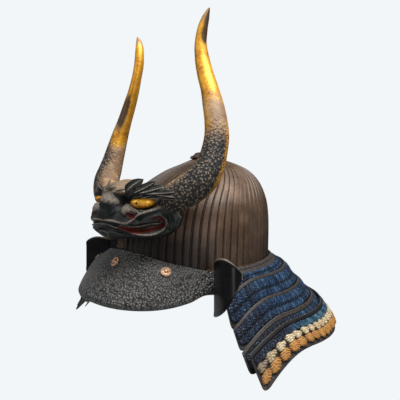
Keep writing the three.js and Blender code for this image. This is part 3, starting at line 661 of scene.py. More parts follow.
# ---- eyes ----
eyes = {
    "half": 18, "deep": 11.5, "tall": 9.3, "slant": 4, "pupil": {"across": -6.5, "up": -0.5, "radius": 1.9},
    # name, side, angle from the front, how far out of the mask's axis, height: the right one sits further in
    "rows": [("eye_left", 1, 38.8, 86, 97.1), ("eye_right", -1, 35, 83, 100.5)],
}
for name, side, angle, reach, up in eyes["rows"]:
    deselectAll()
    bpy.ops.mesh.primitive_uv_sphere_add(segments=96, ring_count=48, radius=1)
    eye = bpy.context.object
    eye.name = eye.data.name = name + "Ball"
    eye.data.transform(Matrix.Diagonal((eyes["half"] * mm, eyes["deep"] * mm, eyes["tall"] * mm, 1)))
    x, y, z = pointsOf(eye)
    gap = np.hypot(x * side - eyes["pupil"]["across"], z - eyes["pupil"]["up"])
    setAttribute(eye, "pupil", 1 - smooth(gap, eyes["pupil"]["radius"] * 0.7, eyes["pupil"]["radius"] * 1.2))
    edge = (x / eyes["half"]) ** 2 + (z / eyes["tall"]) ** 2
    # painted shade: the gold darkens towards the eye's rim and its lower side
    setAttribute(eye, "low", 0.35 * smooth(edge, 0.5, 1) + 0.3 * smooth(-z - 0.25 * x * side, 0, 7) - 0.1)
    turn = math.radians(angle * side)
    place = Vector((reach * math.sin(turn), maskShape["axis"] - reach * math.cos(turn), up)) * mm
    eye.data.transform(Matrix.Translation(place) @ Matrix.Rotation(turn, 4, "Z")
                       @ Matrix.Rotation(math.radians(-eyes["slant"] * side), 4, "Y"))
    bpy.ops.object.shade_smooth()
    finishPiece(eye, goldLeaf, [name])

# ---- brow leaves: flame-shaped locks, each a bent blade with a rubbed midrib and rubbed edges ----
browLeaves = {
    "reach": 94.5, "lean": 0.35, "leanFrom": 106, "overHorn": 18, "rooted": 10,
    "flatter": 0.5, "shorter": 0.6, "sunk": 6,  # the right brow, against the left
    # from angle and z, to angle and z, width, bend sideways, lift
    "blades": [
        (23, 104, 39.5, 129, 18, 3.0, 4.6), (27, 106, 50.5, 125.5, 15, -1.5, 6.4),
        (30, 107.5, 59.5, 120, 14.5, -1.5, 5.4), (36, 108.5, 66.5, 112, 13, -1.0, 4.6),
        (45, 107.5, 66, 103.5, 10, 1.0, 3.6), (2.4, 117, 2.4, 129.5, 5.5, 0.5, 1.6),
    ],
}
for name, side in (("brow_left", 1), ("brow_right", -1)):
    leaves = []
    flat, short = (1, 1) if side == 1 else (browLeaves["flatter"], browLeaves["shorter"])
    for a0, z0, a1, z1, width, bend, lift in browLeaves["blades"]:
        z1 = z0 + (z1 - z0) * short
        per = maskShape["perDegree"]
        run = unit(np.array([(a1 - a0) * per, z1 - z0]))

        def leafSkin(u, v):
            full = np.interp(u, [0, 0.15, 0.4, 0.7, 0.88, 1], [0.6, 0.85, 1, 0.85, 0.5, 0.03])
            across = np.interp(v, [0, 0.08, 0.3, 0.52, 0.6, 1], [-1, -1, 0, 1, 1, -1])
            up = np.interp(v, [0, 0.08, 0.17, 0.3, 0.43, 0.52, 0.6, 1], [0, 0.6, 0.3, 1, 0.3, 0.6, 0, 0])
            half = width / 2 * full * across + bend * np.sin(np.pi * u)
            angle = a0 + (a1 - a0) * u - half * run[1] / per
            z = z0 + (z1 - z0) * u + half * run[0]
            swell = lift * flat * np.sin(np.pi * np.clip(u * 0.8 + 0.18, 0, 1)) ** 0.8
            rise = up * (1.2 + swell) - browLeaves["sunk"] * (1 - flat)
            leanBack = np.maximum(z - browLeaves["leanFrom"], 0) * browLeaves["lean"]
            reach = browLeaves["reach"] + rise - leanBack
            reach = reach + browLeaves["overHorn"] * smooth(angle, 50, 62) * (1 - smooth(z, 112, 122))
            reach = reach - browLeaves["rooted"] * (1 - smooth(u, 0, 0.35)) * near(angle, 22, 8)
            turn = np.radians(angle * side)
            return stack(reach * np.sin(turn), maskShape["axis"] - reach * np.cos(turn), z)

        cells = (40, 50)
        leaf = shapedGrid(name + "Leaf", cells, leafSkin)
        u, v = gridPlaces(cells)
        rib = near(v, 0.3, 0.035) + 0.8 * near(v, 0.08, 0.03) + 0.8 * near(v, 0.52, 0.03)
        setAttribute(leaf, "wearAndHighlight", rib * smooth(u, 0.1, 0.4) * 0.9)
        setAttribute(leaf, "ground", np.full(len(u), 0.6 if a0 < 10 else 0.0))
        closePiece(leaf, holes=True)
        leaves.append(leaf)
    finishPiece(joinPieces(leaves), wornLacquer, [name], edge=50)

# ---- gilded horn: wood under lacquer, gold leaf above, bare brown and a coarse black crust below ----
gildedHorn, tree, shader, where = newMaterial("gildedHorn")
gilt, crust, soot = (addNode(tree, "Attribute", out="Fac", attribute_name=name)
                     for name in ("gilt", "crust", "soot"))
fleck = addNode(tree, "TexNoise", {"Vector": where, "Scale": 1000 / 3.5, "Detail": 6, "Roughness": 0.75})
cloud = addNode(tree, "TexNoise", {"Vector": where, "Scale": 1000 / 22, "Detail": 4, "Roughness": 0.6})
grit = addNode(tree, "TexVoronoi", {"Vector": where, "Scale": 1000 / 3.9}, feature="F1")
gritHigh = addNode(tree, "MapRange",
                   {"Value": grit, "From Min": 0.05, "From Max": 0.8, "To Min": 1, "To Max": 0})
bare = addNode(tree, "ValToRGB", {"Fac": cloud}, stops=[(0.3, "584330"), (0.5, "816448"), (0.72, "a58763")])
crustTone = addNode(tree, "ValToRGB", {"Fac": gritHigh},
                    stops=[(0.2, "060504"), (0.52, "2f271f"), (0.95, "8c7a60")])
tarnish = addNode(tree, "Mix", {0: 0.42, 2: cloud, 3: fleck})
goldTone = addNode(tree, "ValToRGB", {"Fac": tarnish},
                   stops=[(0.34, "7d4c14"), (0.48, "cb8b20"), (0.64, "edb333")])
crustShare = addNode(tree, "Math", {0: crust, 1: fleck}, operation="ADD")
crustEdge = addNode(tree, "MapRange", {"Value": crustShare, "From Min": 0.7, "From Max": 1.25})
base = addNode(tree, "Mix", {0: crustEdge, 6: bare, 7: crustTone}, out=2, data_type="RGBA")
giltShare = addNode(tree, "Math", {0: gilt, 1: fleck}, operation="ADD")
giltEdge = addNode(tree, "MapRange", {"Value": giltShare, "From Min": 0.8, "From Max": 1.15})
gilded = addNode(tree, "Mix", {0: giltEdge, 6: base, 7: goldTone}, out=2, data_type="RGBA")
sootShare = addNode(tree, "Math", {0: soot, 1: fleck}, operation="ADD")
sootEdge = addNode(tree, "MapRange", {"Value": sootShare, "From Min": 0.85, "From Max": 1.2, "To Max": 0.9})
color = addNode(tree, "Mix", {0: sootEdge, 6: gilded, 7: hexColor("2a211d")}, out=2, data_type="RGBA")
shine = addNode(tree, "MapRange", {"Value": giltEdge, "To Min": 0, "To Max": 0.45})
dull = addNode(tree, "MapRange", {"Value": giltEdge, "To Min": 0.62, "To Max": 0.44})
gritty = addNode(tree, "MapRange", {"Value": crust, "From Max": 0.35})
rough = addNode(tree, "Math", {0: gritHigh, 1: gritty}, operation="MULTIPLY")
fine = addNode(tree, "Math", {0: fleck, 1: 0.25, 2: rough}, operation="MULTIPLY_ADD")
bump = addNode(tree, "Bump", {"Height": fine, "Strength": 1, "Distance": 1.7 * mm})
feed(tree, shader, {"Base Color": color, "Metallic": shine, "Roughness": dull, "Normal": bump})

# ---- horns ----
hornTable = {
    "z": [94, 99, 104.4, 116.9, 130.5, 147, 164, 188, 212, 236, 260, 284, 308, 332, 356, 370, 380, 384],
    "x": [70.5, 77.5, 86, 106, 118.6, 123, 123.9, 122.7, 117.1, 108.6, 99.2, 89, 81.2, 76.5, 78.2, 82,
          86.5, 89],
    "y": [-122, -119, -114.6, -103.2, -94, -85, -78.5, -71.5, -67.1, -63.7, -61, -59.4, -58.2, -56.6, -54,
          -52, -51, -51],
    "wide": [26, 36, 43, 45, 44, 40, 37.2, 34.9, 32.5, 30.3, 26.3, 24.5, 21.8, 18.2, 15.3, 11.5, 5.5, 2],
    "deep": [26, 36, 43, 45, 43, 40, 36.5, 32.7, 28.4, 24.1, 22.1, 19.1, 16.7, 16.6, 14.9, 11.5, 6, 2],
}
hornTable["root"], hornTable["tip"] = hornTable["z"][0], hornTable["z"][-1]
hornSoot = {"horn_left": 0.4, "horn_right": 1.25}  # the dark patch half-way up the inner face


def hornAt(turn, z):
    def middle(at):
        return stack(curve(hornTable, "z", "x", at), curve(hornTable, "z", "y", at), at)
    along = unit(middle(np.minimum(z + 1, hornTable["tip"])) - middle(np.maximum(z - 1, hornTable["root"])))
    flat = np.array([1, 1, 0]) / math.sqrt(2)
    wide = unit(flat - along * np.sum(along * flat, axis=-1, keepdims=True))
    deep = np.cross(along, wide)
    reachW = curve(hornTable, "z", "wide", z) / 2 * np.cos(turn)
    reachD = curve(hornTable, "z", "deep", z) / 2 * np.sin(turn)
    return middle(z) + wide * reachW[..., None] + deep * reachD[..., None]


def hornHeight(v):
    return hornTable["root"] + (hornTable["tip"] - hornTable["root"]) * v ** 1.15


for name, side in (("horn_left", 1), ("horn_right", -1)):
    def hornSkin(u, v):
        return hornAt(u * 2 * np.pi, hornHeight(v)) * np.array([side, 1, 1])

    cells = (72, 240)
    horn = shapedGrid(name + "Skin", cells, hornSkin)
    u, v = gridPlaces(cells)
    turn, z = u * 360, hornHeight(v)
    off = np.minimum(np.abs(turn), np.abs(360 - turn))  # 0 on the outer edge, 180 on the inner face
    gilt = smooth(z, 205, 275) * (1 - 0.5 * smooth(z, 350, 372))
    gilt = gilt + 0.52 * near(off, 0, 30) * (1 - smooth(z, 196, 225))
    gilt = gilt + 0.85 * near(off, 170, 60) * near(z, 204, 24)
    gilt = gilt + 0.6 * near(turn, 120, 34) * near(z, 226, 30) + 0.3 * near(off, 0, 60) * near(z, 190, 45)
    gilt = gilt + 0.32 * near(turn, 332, 22) * (1 - smooth(z, 190, 220))
    setAttribute(horn, "gilt", np.clip(gilt, 0, 1) * 0.8)
    setAttribute(horn, "crust", np.clip((1 - smooth(z, 150, 225)) * (1 - 0.9 * near(turn, 138, 62)), 0, 1))
    soot = hornSoot[name] * near(turn, 198, 40) * near(z, 250, 32)
    soot = soot + near(turn, 312, 50) * smooth(z, 314, 345) * 1.1
    setAttribute(horn, "soot", np.clip(soot, 0, 1))
    closePiece(horn, holes=True)
    finishPiece(horn, gildedHorn, [name], edge=50)
print("horns made")

# ---- gloss lacquer: black roiro lacquer polished to a mirror, its edges bound in a thin worn metal rim ----
glossLacquer, tree, shader, where = newMaterial("glossLacquer")
rim = addNode(tree, "Attribute", out="Fac", attribute_name="rim")
haze = addNode(tree, "TexNoise", {"Vector": where, "Scale": 1000 / 25, "Detail": 3})
hazeTone = addNode(tree, "ValToRGB", {"Fac": haze}, stops=[(0.35, "060607"), (0.7, "121214")])
color = addNode(tree, "Mix", {0: rim, 6: hazeTone, 7: hexColor("8d8072")}, out=2, data_type="RGBA")
dull = addNode(tree, "MapRange", {"Value": haze, "To Min": 0.2, "To Max": 0.38})
feed(tree, shader, {"Base Color": color, "Roughness": dull, "Specular IOR Level": 0.22})

# ---- wings: the visor's ends turned back, from their root out to the fold and along the turned leaf ----
wingTable = {
    "row": [0, 1, 2, 3, 4, 5, 6],
    "x": [118, 130, 150, 166, 173, 179, 181],
    "y": [-66, -85, -99, -106, -104, -97, -86],
    "top": [2, 16, 25, 28, 26, 19, 7],
    "farTop": [18, 25.5, 27, 20, 12, 3, -7],  # this one's corner was worn and ground rounder
    "bottom": [-58, -58, -50, -40, -32, -16, 2],
}
wingSection = {  # round its section: place, share of the height, how far in
    "place": [0, 0.02, 0.46, 0.48, 0.5, 0.52, 0.98, 1],
    "height": [0, 0.01, 0.99, 1, 1, 0.99, 0.01, 0],
    "in": [0.6, 0, 0, 0.6, 1.4, 2, 2, 1.4],
}


def wingAt(u, v, crest):
    row, step = u * wingTable["row"][-1], 0.05
    x, y, top, bottom = (curve(wingTable, "row", key, row) for key in ("x", "y", crest, "bottom"))
    alongX, alongY = (curve(wingTable, "row", key, row + step) - curve(wingTable, "row", key, row - step)
                      for key in ("x", "y"))
    return stack(x, y, bottom + (top - bottom) * v), unit(stack(-alongY, alongX, 0.0))


for name, side in (("wing_left", 1), ("wing_right", -1)):
    cells = (90, 88)

    def wingSkin(u, v):
        across = np.interp(v, wingSection["place"], wingSection["height"])
        depth = np.interp(v, wingSection["place"], wingSection["in"])
        depth = np.where(v > 0.99, np.interp(v, [0.99, 1], [1.8, 0.6]), depth)
        point, inward = wingAt(np.clip(u, 0.002, 0.998), across, "top" if side == 1 else "farTop")
        bead = 0.5 * near(v, 0.45, 0.012) + 0.5 * near(v, 0.03, 0.012)
        return (point + inward * (depth - bead)[..., None]) * np.array([side, 1, 1])

    wing = shapedGrid(name + "Plate", cells, wingSkin)
    u, v = gridPlaces(cells)
    edge = np.maximum(smooth(v, 0.45, 0.462) * (1 - smooth(v, 0.5, 0.52)), smooth(u, 0.975, 0.99) * (v < 0.5))
    setAttribute(wing, "rim", edge * 0.8)
    closePiece(wing, holes=True)
    finishPiece(wing, glossLacquer, [name], edge=50)

# ---- lame lacquer: iron plates lacquered brown-grey along their bands and black elsewhere, a highlight painted along their upper and lower edges ----
lameLacquer, tree, shader, where = newMaterial("lameLacquer")
tone, edgeHighlight = (addNode(tree, "Attribute", out="Fac", attribute_name=name) for name in ("tone", "wearAndHighlight"))
cloud = addNode(tree, "TexNoise", {"Vector": where, "Scale": 1000 / 18, "Detail": 4})
speck = addNode(tree, "TexNoise", {"Vector": where, "Scale": 1000 / 2.4, "Detail": 4, "Roughness": 0.7})
band = addNode(tree, "ValToRGB", {"Fac": speck}, stops=[(0.35, "1f1b1a"), (0.55, "393432"), (0.72, "5f5855")])
black = addNode(tree, "ValToRGB", {"Fac": cloud}, stops=[(0.35, "0e0d0e"), (0.7, "201c1b")])
plate = addNode(tree, "Mix", {0: tone, 6: black, 7: band}, out=2, data_type="RGBA")
# the painted edge highlight, broken up by the speckle
rubbed = addNode(tree, "Math", {0: edgeHighlight, 1: speck}, operation="ADD")
wearAndHighlightShare = addNode(tree, "MapRange", {"Value": rubbed, "From Min": 1.0, "From Max": 1.4, "To Max": 0.9})
color = addNode(tree, "Mix", {0: wearAndHighlightShare, 6: plate, 7: hexColor("80705f")}, out=2, data_type="RGBA")
bump = addNode(tree, "Bump", {"Height": speck, "Strength": 0.25, "Distance": 0.4 * mm})
feed(tree, shader, {"Base Color": color, "Normal": bump, "Roughness": 0.52, "Specular IOR Level": 0.3})

# ---- neck guard ----
# upper, then lower edge: half width, depth, z at the side, at the back and at the front end, flare there
lames = [
    {"top": (120, 147, -3, 3, -8, 0), "foot": (145, 165, -18, -17, -46, 0), "start": (-24, -24), "strip": 0.2,
     "length": 589, "width": 29, "banded": (0, 0.46)},
    {"top": (146, 167, -13, -12, -41, 0.01), "foot": (168, 186, -41, -44, -83, 0.03), "start": (-24, -24),
     "strip": 0.13, "length": 691, "width": 38, "banded": (0, 0.2)},
    {"top": (169, 188, -36, -39, -74, 0.03), "foot": (190, 206, -61, -65, -101, 0.04), "start": (-24, -24),
     "strip": 0.14, "length": 779, "width": 33, "banded": (0, 0.2)},
    {"top": (191, 208, -56, -60, -96, 0.04), "foot": (211, 226, -84, -92, -122, 0.05), "start": (-24, -23.5),
     "strip": 0.17, "length": 858, "width": 36, "banded": (0, 0.3)},
    {"top": (206, 222, -61, -70, -90, 0.055), "foot": (230, 243, -93, -116, -134.5, 0.075),
     "start": (-24, -22.5), "strip": 0.12, "length": 913, "width": 50, "banded": (0.88, 1.1)},
]
guardHeart = (0, 0, -80)
guardEnd = {"round": [10, 12, 12, 12, 9]}  # how far each lame's lower front corners are rounded


def ringAt(ring, angle):
    half, depth, side, back, front, flare = ring
    fromSide = np.where(angle > 90, 180 - angle, angle)
    droop = np.maximum((fromSide + 3) / -22, 0) ** 2
    turn = np.radians(angle)
    rise = np.maximum(np.sin(turn), 0)
    reach = 1 + flare * droop
    z = side + (front - side) * droop + (back - side) * rise
    return stack(half * np.cos(turn) * reach, depth * np.sin(turn) * reach, z)


def lameAt(index):
    row = lames[index]

    def at(u, v):
        end = row["start"][0] + (row["start"][1] - row["start"][0]) * v
        angle = end + (180 - 2 * end) * u
        upper, lower = ringAt(row["top"], angle), ringAt(row["foot"], angle)
        return upper + (lower - upper) * np.asarray(v)[..., None]
    return at


def alongGuard(u):  # closer steps near the two front ends
    return np.interp(u, [0, 0.08, 0.92, 1], [0, 0.025, 0.975, 1])


def cornerCut(index, u, inset=0.0):  # the share of a lame's width that its rounded front corner takes away
    row = lames[index]
    gap = np.maximum(np.minimum(u, 1 - u) * row["length"] - inset, 0)
    size = guardEnd["round"][index]
    inside = np.clip(size - gap, 0, size)
    return (size - np.sqrt(np.maximum(size ** 2 - inside ** 2, 0))) / row["width"]


def placeOn(index, u, share, lift):
    return lifted(lameAt(index), np.clip(u, 0.0002, 0.9998), share * 0.998 + 0.001, lift, guardHeart)


for index, row in enumerate(lames):
    strip = row["strip"]
    outline = {
        "v": [0, 0.03, 0.06, 0.1, 0.28, 0.31, 0.34, 0.38, 0.86, 0.9, 0.93, 1],
        "share": [0, 0, 0.006, 0.03, strip - 0.02, strip, strip + 0.012, strip + 0.05, 0.97, 1, 1, 0],
        "lift": [0, 2.3, 2.9, 3.1, 3.1, 2.7, 1.8, 1.6, 1.6, 1.2, 0, 0],
    }

    def lameSkin(u, v):
        along = alongGuard(u)
        share = np.interp(v, outline["v"], outline["share"])
        cut = cornerCut(index, along)
        return placeOn(index, along, share * (1 - cut), np.interp(v, outline["v"], outline["lift"]))

    cells = (300, 100)
    lame = shapedGrid(f"lame{index + 1}Plate", cells, lameSkin)
    _, v = gridPlaces(cells)
    share = np.interp(v, outline["v"], outline["share"])
    outer = smooth(v, 0.02, 0.05) * (1 - smooth(v, 0.9, 0.94))
    low, high = row["banded"]
    setAttribute(lame, "tone", outer * (share >= low) * (share <= high))
    # painted highlight: a light line along each lame's upper edge and a fainter one along its lower edge
    setAttribute(lame, "wearAndHighlight", near(v, 0.055, 0.03) * 0.75 + near(v, 0.9, 0.03) * 0.55)
    closePiece(lame, holes=True)
    finishPiece(lame, lameLacquer, [f"lame_{index + 1}"], edge=35)
print("lames made")

# ---- blue lacing: flat silk braid dyed with indigo, faded unevenly, laid cord beside cord ----
blueLacing, tree, shader, where = newMaterial("blueLacing")
cord, down, gapShade, bright, dusty = (addNode(tree, "Attribute", out="Fac", attribute_name=name)
                                       for name in ("cord", "down", "gap", "bright", "dusty"))
fade = addNode(tree, "TexNoise", {"Vector": where, "Scale": 1000 / 16, "Detail": 4, "Roughness": 0.6})
fuzz = addNode(tree, "TexNoise", {"Vector": where, "Scale": 1000 / 3, "Detail": 4, "Roughness": 0.7})
number = addNode(tree, "Math", {0: cord}, operation="FLOOR")
dice = addNode(tree, "TexWhiteNoise", {"W": number}, noise_dimensions="1D")
mixed = addNode(tree, "Math", {0: fade, 1: 0.55, 2: 0.0}, operation="MULTIPLY_ADD")
uneven = addNode(tree, "Math", {0: dice, 1: 0.14, 2: mixed}, operation="MULTIPLY_ADD")
faded = addNode(tree, "Math", {0: fuzz, 1: 0.45, 2: uneven}, operation="MULTIPLY_ADD")
dye = addNode(tree, "ValToRGB", {"Fac": faded},
              stops=[(0.4, "07111f"), (0.5, "18304f"), (0.6, "2c5078"), (0.74, "6189ae")])
cyan = addNode(tree, "ValToRGB", {"Fac": faded}, stops=[(0.42, "1a3a52"), (0.54, "3f718f"), (0.7, "8bb6cc")])
dyed = addNode(tree, "Mix", {0: bright, 6: dye, 7: cyan}, out=2, data_type="RGBA")
dust = addNode(tree, "ValToRGB", {"Fac": fuzz}, stops=[(0.35, "181a22"), (0.55, "3a3d49"), (0.72, "7c808d")])
dustEdge = addNode(tree, "Math", {0: dusty, 1: fade}, operation="ADD")
dustShare = addNode(tree, "MapRange", {"Value": dustEdge, "From Min": 0.75, "From Max": 1.15, "To Max": 0.85})
dusted = addNode(tree, "Mix", {0: dustShare, 6: dyed, 7: dust}, out=2, data_type="RGBA")
# the braid's two slants, a strand about 4 mm wide, painted near black between strands as shade
folded = addNode(tree, "Math", {0: cord, 1: 0.5}, operation="PINGPONG")
slanted = addNode(tree, "Math", {0: folded, 1: 7.7, 2: down}, operation="MULTIPLY_ADD")
loose = addNode(tree, "Math", {0: fuzz, 1: 3.0, 2: slanted}, operation="MULTIPLY_ADD")
strand = addNode(tree, "Math", {0: loose, 1: 2.0}, operation="PINGPONG")
between = addNode(tree, "MapRange", {"Value": strand, "From Min": 0.9, "From Max": 0.1, "To Max": 0.85})
hollow = addNode(tree, "Math", {0: between, 1: gapShade}, operation="MAXIMUM")
weave = addNode(tree, "Math", {0: fuzz, 1: 1.4, 2: strand}, operation="MULTIPLY_ADD")
color = addNode(tree, "Mix", {0: hollow, 6: dusted, 7: hexColor("03060c")}, out=2, data_type="RGBA")
bump = addNode(tree, "Bump", {"Height": weave, "Strength": 0.9, "Distance": 1.2 * mm})
feed(tree, shader, {"Base Color": color, "Normal": bump, "Roughness": 0.7, "Specular IOR Level": 0.25})

lacing = {
    "foot": 2.1, "pitch": 7.7, "finePitch": 4.4, "bright": [0, 0, 0.1, 0.3, 0.95],
    # name, lame, upper and lower edge as shares of it, thickness, where its dotted row runs, slant in cords
    "rows": [
        ("lacing_1", 0, 0.48, 0.88, 2.0, 0.7, 0.0), ("lacing_2", 1, 0.15, 0.88, 2.6, 0.56, 0.0),
        ("lacing_3", 2, 0.15, 0.88, 2.6, 0.56, 0.0), ("lacing_4", 3, 0.2, 0.84, 2.6, 0.6, 0.0),
        ("lacing_5", 4, 0.15, 0.36, 2.6, 2.0, -1.6),
    ],
}
for name, index, start, end, thick, dots, slant in lacing["rows"]:
    row = lames[index]
    pitch = lacing["pitch" if index < 4 else "finePitch"]
    cords = round(row["length"] / pitch)
    width = end - start
    outline = {
        "v": [0, 0.05, 0.12, 0.7, 0.77, 0.82, 1],
        "share": [start, start, start + 0.05 * width, end - 0.05 * width, end, end, start],
        "rise": [0, 0.75, 1, 1, 0.75, 0, 0],
    }

    def lacingParts(u, v):
        along = 0.004 + 0.992 * u
        share = np.interp(v, outline["v"], outline["share"])
        rise = np.interp(v, outline["v"], outline["rise"])
        cord = along * cords + slant * (share - start) / width
        crown = np.abs(np.sin(np.pi * cord)) ** 0.6  # round cords, narrow valleys
        if index < 4:  # each cord swells and dips where it crosses under its neighbour
            twist = share * row["width"] / 6.5 * 2 * np.pi + np.floor(cord) * 2.3
            crown = crown * (0.8 + 0.2 * np.sin(twist))
        wobble = 0.5 + 0.5 * np.sin(cord * 2 * np.pi * 0.37 + 1.3) * np.sin(cord * 1.1)
        tier = near(share, dots + 0.02 * (wobble - 0.5), 0.07)
        puff = 0.25 * np.sin(np.pi * np.clip((share - start) / max(dots - start, 0.01), 0, 1))
        puff = puff + 0.25 * np.sin(np.pi * np.clip((share - dots) / max(end - dots, 0.01), 0, 1))
        high = (0.55 + 0.45 * crown + puff - 0.5 * tier) * thick
        lift = lacing["foot"] + rise * np.maximum(high, 0.3)
        # painted shade: the cord valleys and the dotted row of holes are darkened in colour
        dash = 1 - smooth(np.abs((cord * 2 % 2) - 1), 0.35, 0.75) if index < 4 else 0
        valley = 1 - smooth(crown, 0.15, 0.68 if index < 4 else 0.8)
        dark = np.clip(tier * (0.15 + 1.1 * dash) + 0.85 * valley, 0, 1)
        return along, share, lift, cord, dark * (rise > 0.5)

    def lacingSkin(u, v):
        along, share, lift, _, _ = lacingParts(u, v)
        cut = cornerCut(index, along, 3) * smooth(share, 0.2, 0.9)
        return placeOn(index, along, share * (1 - cut), lift)

    cells = (cords * 8, 40)
    band = shapedGrid(name + "Cords", cells, lacingSkin)
    along, share, _, cord, dark = lacingParts(*gridPlaces(cells))
    fromEnd = np.minimum(along, 1 - along) * row["length"]
    setAttribute(band, "cord", cord)
    setAttribute(band, "down", share * row["width"])
    setAttribute(band, "gap", dark)
    setAttribute(band, "bright", lacing["bright"][index] * smooth(fromEnd, 40, 130))
    dusty = (1 - smooth(fromEnd, 20, 120)) * (0.35 + 0.12 * index) + (0.35 if index == 3 else 0)
    setAttribute(band, "dusty", dusty)
    closePiece(band, holes=True)
    finishPiece(band, blueLacing, [name], edge=50)
print("lacing made")

# ---- orange cord: thick round cord worked into buds, its plies laid in a chevron ----
orangeCord, tree, shader, where = newMaterial("orangeCord")
shade, pale, soiled = (addNode(tree, "Attribute", out="Fac", attribute_name=name)
                       for name in ("groove", "pale", "soiled"))
fibre = addNode(tree, "TexNoise", {"Vector": where, "Scale": 1000 / 2.5, "Detail": 4, "Roughness": 0.7})
dye = addNode(tree, "ValToRGB", {"Fac": fibre}, stops=[(0.35, "8a551f"), (0.5, "ca8a38"), (0.7, "e6b05c")])
cream = addNode(tree, "ValToRGB", {"Fac": fibre},
                stops=[(0.36, "8a6c38"), (0.48, "ead3a0"), (0.62, "fff6e0")])
mixed = addNode(tree, "Mix", {0: pale, 6: dye, 7: cream}, out=2, data_type="RGBA")
dirty = addNode(tree, "Mix", {0: soiled, 6: mixed, 7: hexColor("3a3630")}, out=2, data_type="RGBA")
color = addNode(tree, "Mix", {0: shade, 6: dirty, 7: hexColor("2c1808")}, out=2, data_type="RGBA")
bump = addNode(tree, "Bump", {"Height": fibre, "Strength": 0.5, "Distance": 0.5 * mm})
feed(tree, shader, {"Base Color": color, "Normal": bump, "Roughness": 0.7})

knots = {
    "pitch": 16.6, "foot": 2.1, "lame": 4,
    # name, middle and height as shares of the lame, width in mm, thickness, plies across, how pale
    "rows": [
        ("knots_lower", 0.745, 0.34, 17.8, 6.0, 4, 0.0), ("knots_upper", 0.485, 0.29, 17.4, 5.4, 3, 1.0),
    ],
    "cells": (14, 20),
}


def knotSkin(u, v, plies):  # a bud from its tip to its root: x across, y down, z up
    across = np.interp(v, [0, 0.5, 0.62, 1], [-1, 1, 1, -1])
    full = np.sqrt(np.maximum(1 - (2 * u - 1) ** 2, 0)) ** 0.8
    top = np.interp(v, [0, 0.06, 0.25, 0.44, 0.5, 0.62, 1], [0, 0.55, 1, 0.55, 0, 0, 0])
    chevron = (u * plies * 1.3 - 0.9 * np.abs(across)) * 2 * np.pi
    groove = (0.5 - 0.5 * np.cos(chevron)) * (top > 0)
    return stack(across * full, 2 * u - 1, top * (0.35 + 0.65 * full) * (1 - 0.2 * groove))


for name, middle, tall, wide, thick, plies, paleness in knots["rows"]:
    row = lames[knots["lame"]]
    count = round((row["length"] - 14) / knots["pitch"])
    dice = np.random.default_rng(7)
    buds = []
    bud = shapedGrid(name + "Bud", knots["cells"], lambda u, v: knotSkin(u, v, plies))
    closePiece(bud)
    across, down, up = pointsOf(bud)
    if plies == 3:  # the upper buds are crimped into three lobes
        lobes = 1 + 0.16 * np.cos(3 * np.arctan2(across, down))
        across, down = across * lobes, down * lobes
    lay = np.clip(down * 0.5 + 0.5, 0, 1)
    # painted shade: the colour darkens in the grooves between the plies and at each bud's foot against the
    # lame
    groove = (0.5 - 0.5 * np.cos((lay * plies * 1.3 - 0.9 * np.abs(across)) * 2 * np.pi)) ** 1.3 * 0.9
    groove = np.clip(groove + 0.9 * (1 - smooth(up, 0.1, 0.5)), 0, 1)
    for n in range(count):
        u = (n + 0.5) / count + dice.uniform(-0.1, 0.1) / count
        fromEnd = min(u, 1 - u) * row["length"]
        size = 0.72 + 0.28 * min(fromEnd / 25, 1) + dice.uniform(-0.06, 0.06)
        copy = bud.copy()
        copy.data = bud.data.copy()
        scene.collection.objects.link(copy)
        lean = dice.uniform(-0.12, 0.12) + (0.35 if u < 0.5 else -0.35)
        x = across * wide / 2 * size
        y = down * tall * row["width"] / 2 * size * (1 if plies == 4 else 0.95)
        x, y = x * math.cos(lean) - y * math.sin(lean), x * math.sin(lean) + y * math.cos(lean)
        share = middle + y / row["width"] + dice.uniform(-0.012, 0.012)
        cut = float(cornerCut(knots["lame"], np.array(u), 2))
        places = placeOn(knots["lame"], u + x / row["length"], np.clip(share, 0, 1) * (1 - cut),
                         knots["foot"] + 0.05 + np.maximum(up, 0) * thick * size)
        copy.data.vertices.foreach_set("co", (places * mm).ravel())
        setAttribute(copy, "groove", groove)
        tint = np.clip(paleness * (0.95 + dice.uniform(-0.2, 0.1)), 0, 1)
        setAttribute(copy, "pale", np.full(len(groove), tint))
        soil = (0.75 if plies == 3 else 0.15) * max(1 - fromEnd / 45, 0) + dice.uniform(0, 0.12)
        setAttribute(copy, "soiled", np.full(len(groove), np.clip(soil, 0, 1)))
        buds.append(copy)
    bpy.data.objects.remove(bud)
    knotRow = joinPieces(buds)
    knotRow.name = knotRow.data.name = name + "Row"
    closePiece(knotRow, gap=1e-7)
    finishPiece(knotRow, orangeCord, [name], edge=60)
print("knots made")

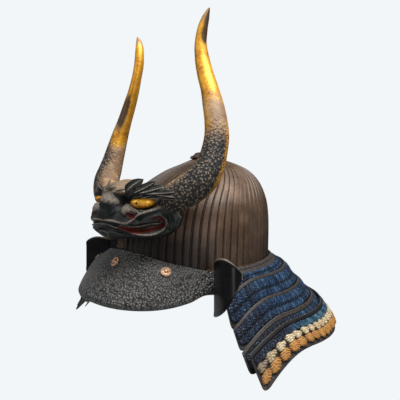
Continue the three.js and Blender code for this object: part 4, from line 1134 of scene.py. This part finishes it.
# ---- stage: a pale paper sweep that fades into the studio's white, and soft lamps ----
stageSet = {
    "floor": -360, "paper": "f4f7fa", "fadeFrom": 0.5, "fadeTo": 1.6,
    "glow": 0.2, "glowTone": "eef1f6", "backdrop": "f2f6f9",
    "lamps": {
        "softboxAbove": {"at": (0.5, -0.1, 1.4), "aim": (0, 0, 0.05), "size": (0.8, 0.8), "power": 36},
        "softboxFront": {"at": (-0.6, -1.7, 0.9), "aim": (0, -0.1, 0.1), "size": (0.9, 0.9), "power": 8},
        "stripRight": {"at": (1.45, -0.6, 0.15), "aim": (0, 0, -0.02), "size": (0.4, 1.1), "power": 6},
    },
}
deselectAll()
bpy.ops.mesh.primitive_plane_add(size=12, location=(0, 0, stageSet["floor"] * mm))
floor = bpy.context.object
floor.name = floor.data.name = "paperFloor"
paper, tree, shader, where = newMaterial("whitePaper")
feed(tree, shader, {"Base Color": hexColor(stageSet["paper"]), "Roughness": 0.9})
flat = addNode(tree, "VectorMath", {0: where, 1: (1, 1, 0)}, operation="MULTIPLY")
far = addNode(tree, "VectorMath", {0: flat}, out="Value", operation="LENGTH")
fade = addNode(tree, "MapRange", {
    "Value": far, "From Min": stageSet["fadeFrom"], "From Max": stageSet["fadeTo"],
    "To Min": 0.7, "To Max": 1,
})
clear = addNode(tree, "BsdfTransparent")
# the paper lights the piece from below and melts into the backdrop
seen = addNode(tree, "LightPath", out="Is Camera Ray")
melted = addNode(tree, "Math", {0: fade, 1: seen}, operation="MAXIMUM")
mixed = addNode(tree, "MixShader", {0: melted, 1: shader.outputs[0], 2: clear})
tree.links.new(mixed, tree.nodes["Material Output"].inputs["Surface"])
floor.data.materials.append(paper)

world = bpy.data.worlds.new("studio")
scene.world = world
world.use_nodes = True
tree = world.node_tree
background = tree.nodes["Background"]
feed(tree, background, {"Color": hexColor(stageSet["glowTone"]), "Strength": stageSet["glow"]})
backdrop = addNode(tree, "Background", {"Color": hexColor(stageSet["backdrop"]), "Strength": 1.0})
seen = addNode(tree, "LightPath", out="Is Camera Ray")
chosen = addNode(tree, "MixShader", {0: seen, 1: background.outputs[0], 2: backdrop})
tree.links.new(chosen, tree.nodes["World Output"].inputs["Surface"])

for name, row in stageSet["lamps"].items():
    bpy.ops.object.light_add(type="AREA", location=row["at"])
    lamp = bpy.context.object
    lamp.name = lamp.data.name = name
    lamp.data.shape = "RECTANGLE"
    lamp.data.size, lamp.data.size_y = row["size"]
    lamp.data.energy = row["power"]
    lamp.rotation_euler = (Vector(row["aim"]) - Vector(row["at"])).to_track_quat("-Z", "Y").to_euler()
scene.view_settings.view_transform = "Standard"

print("stage set")
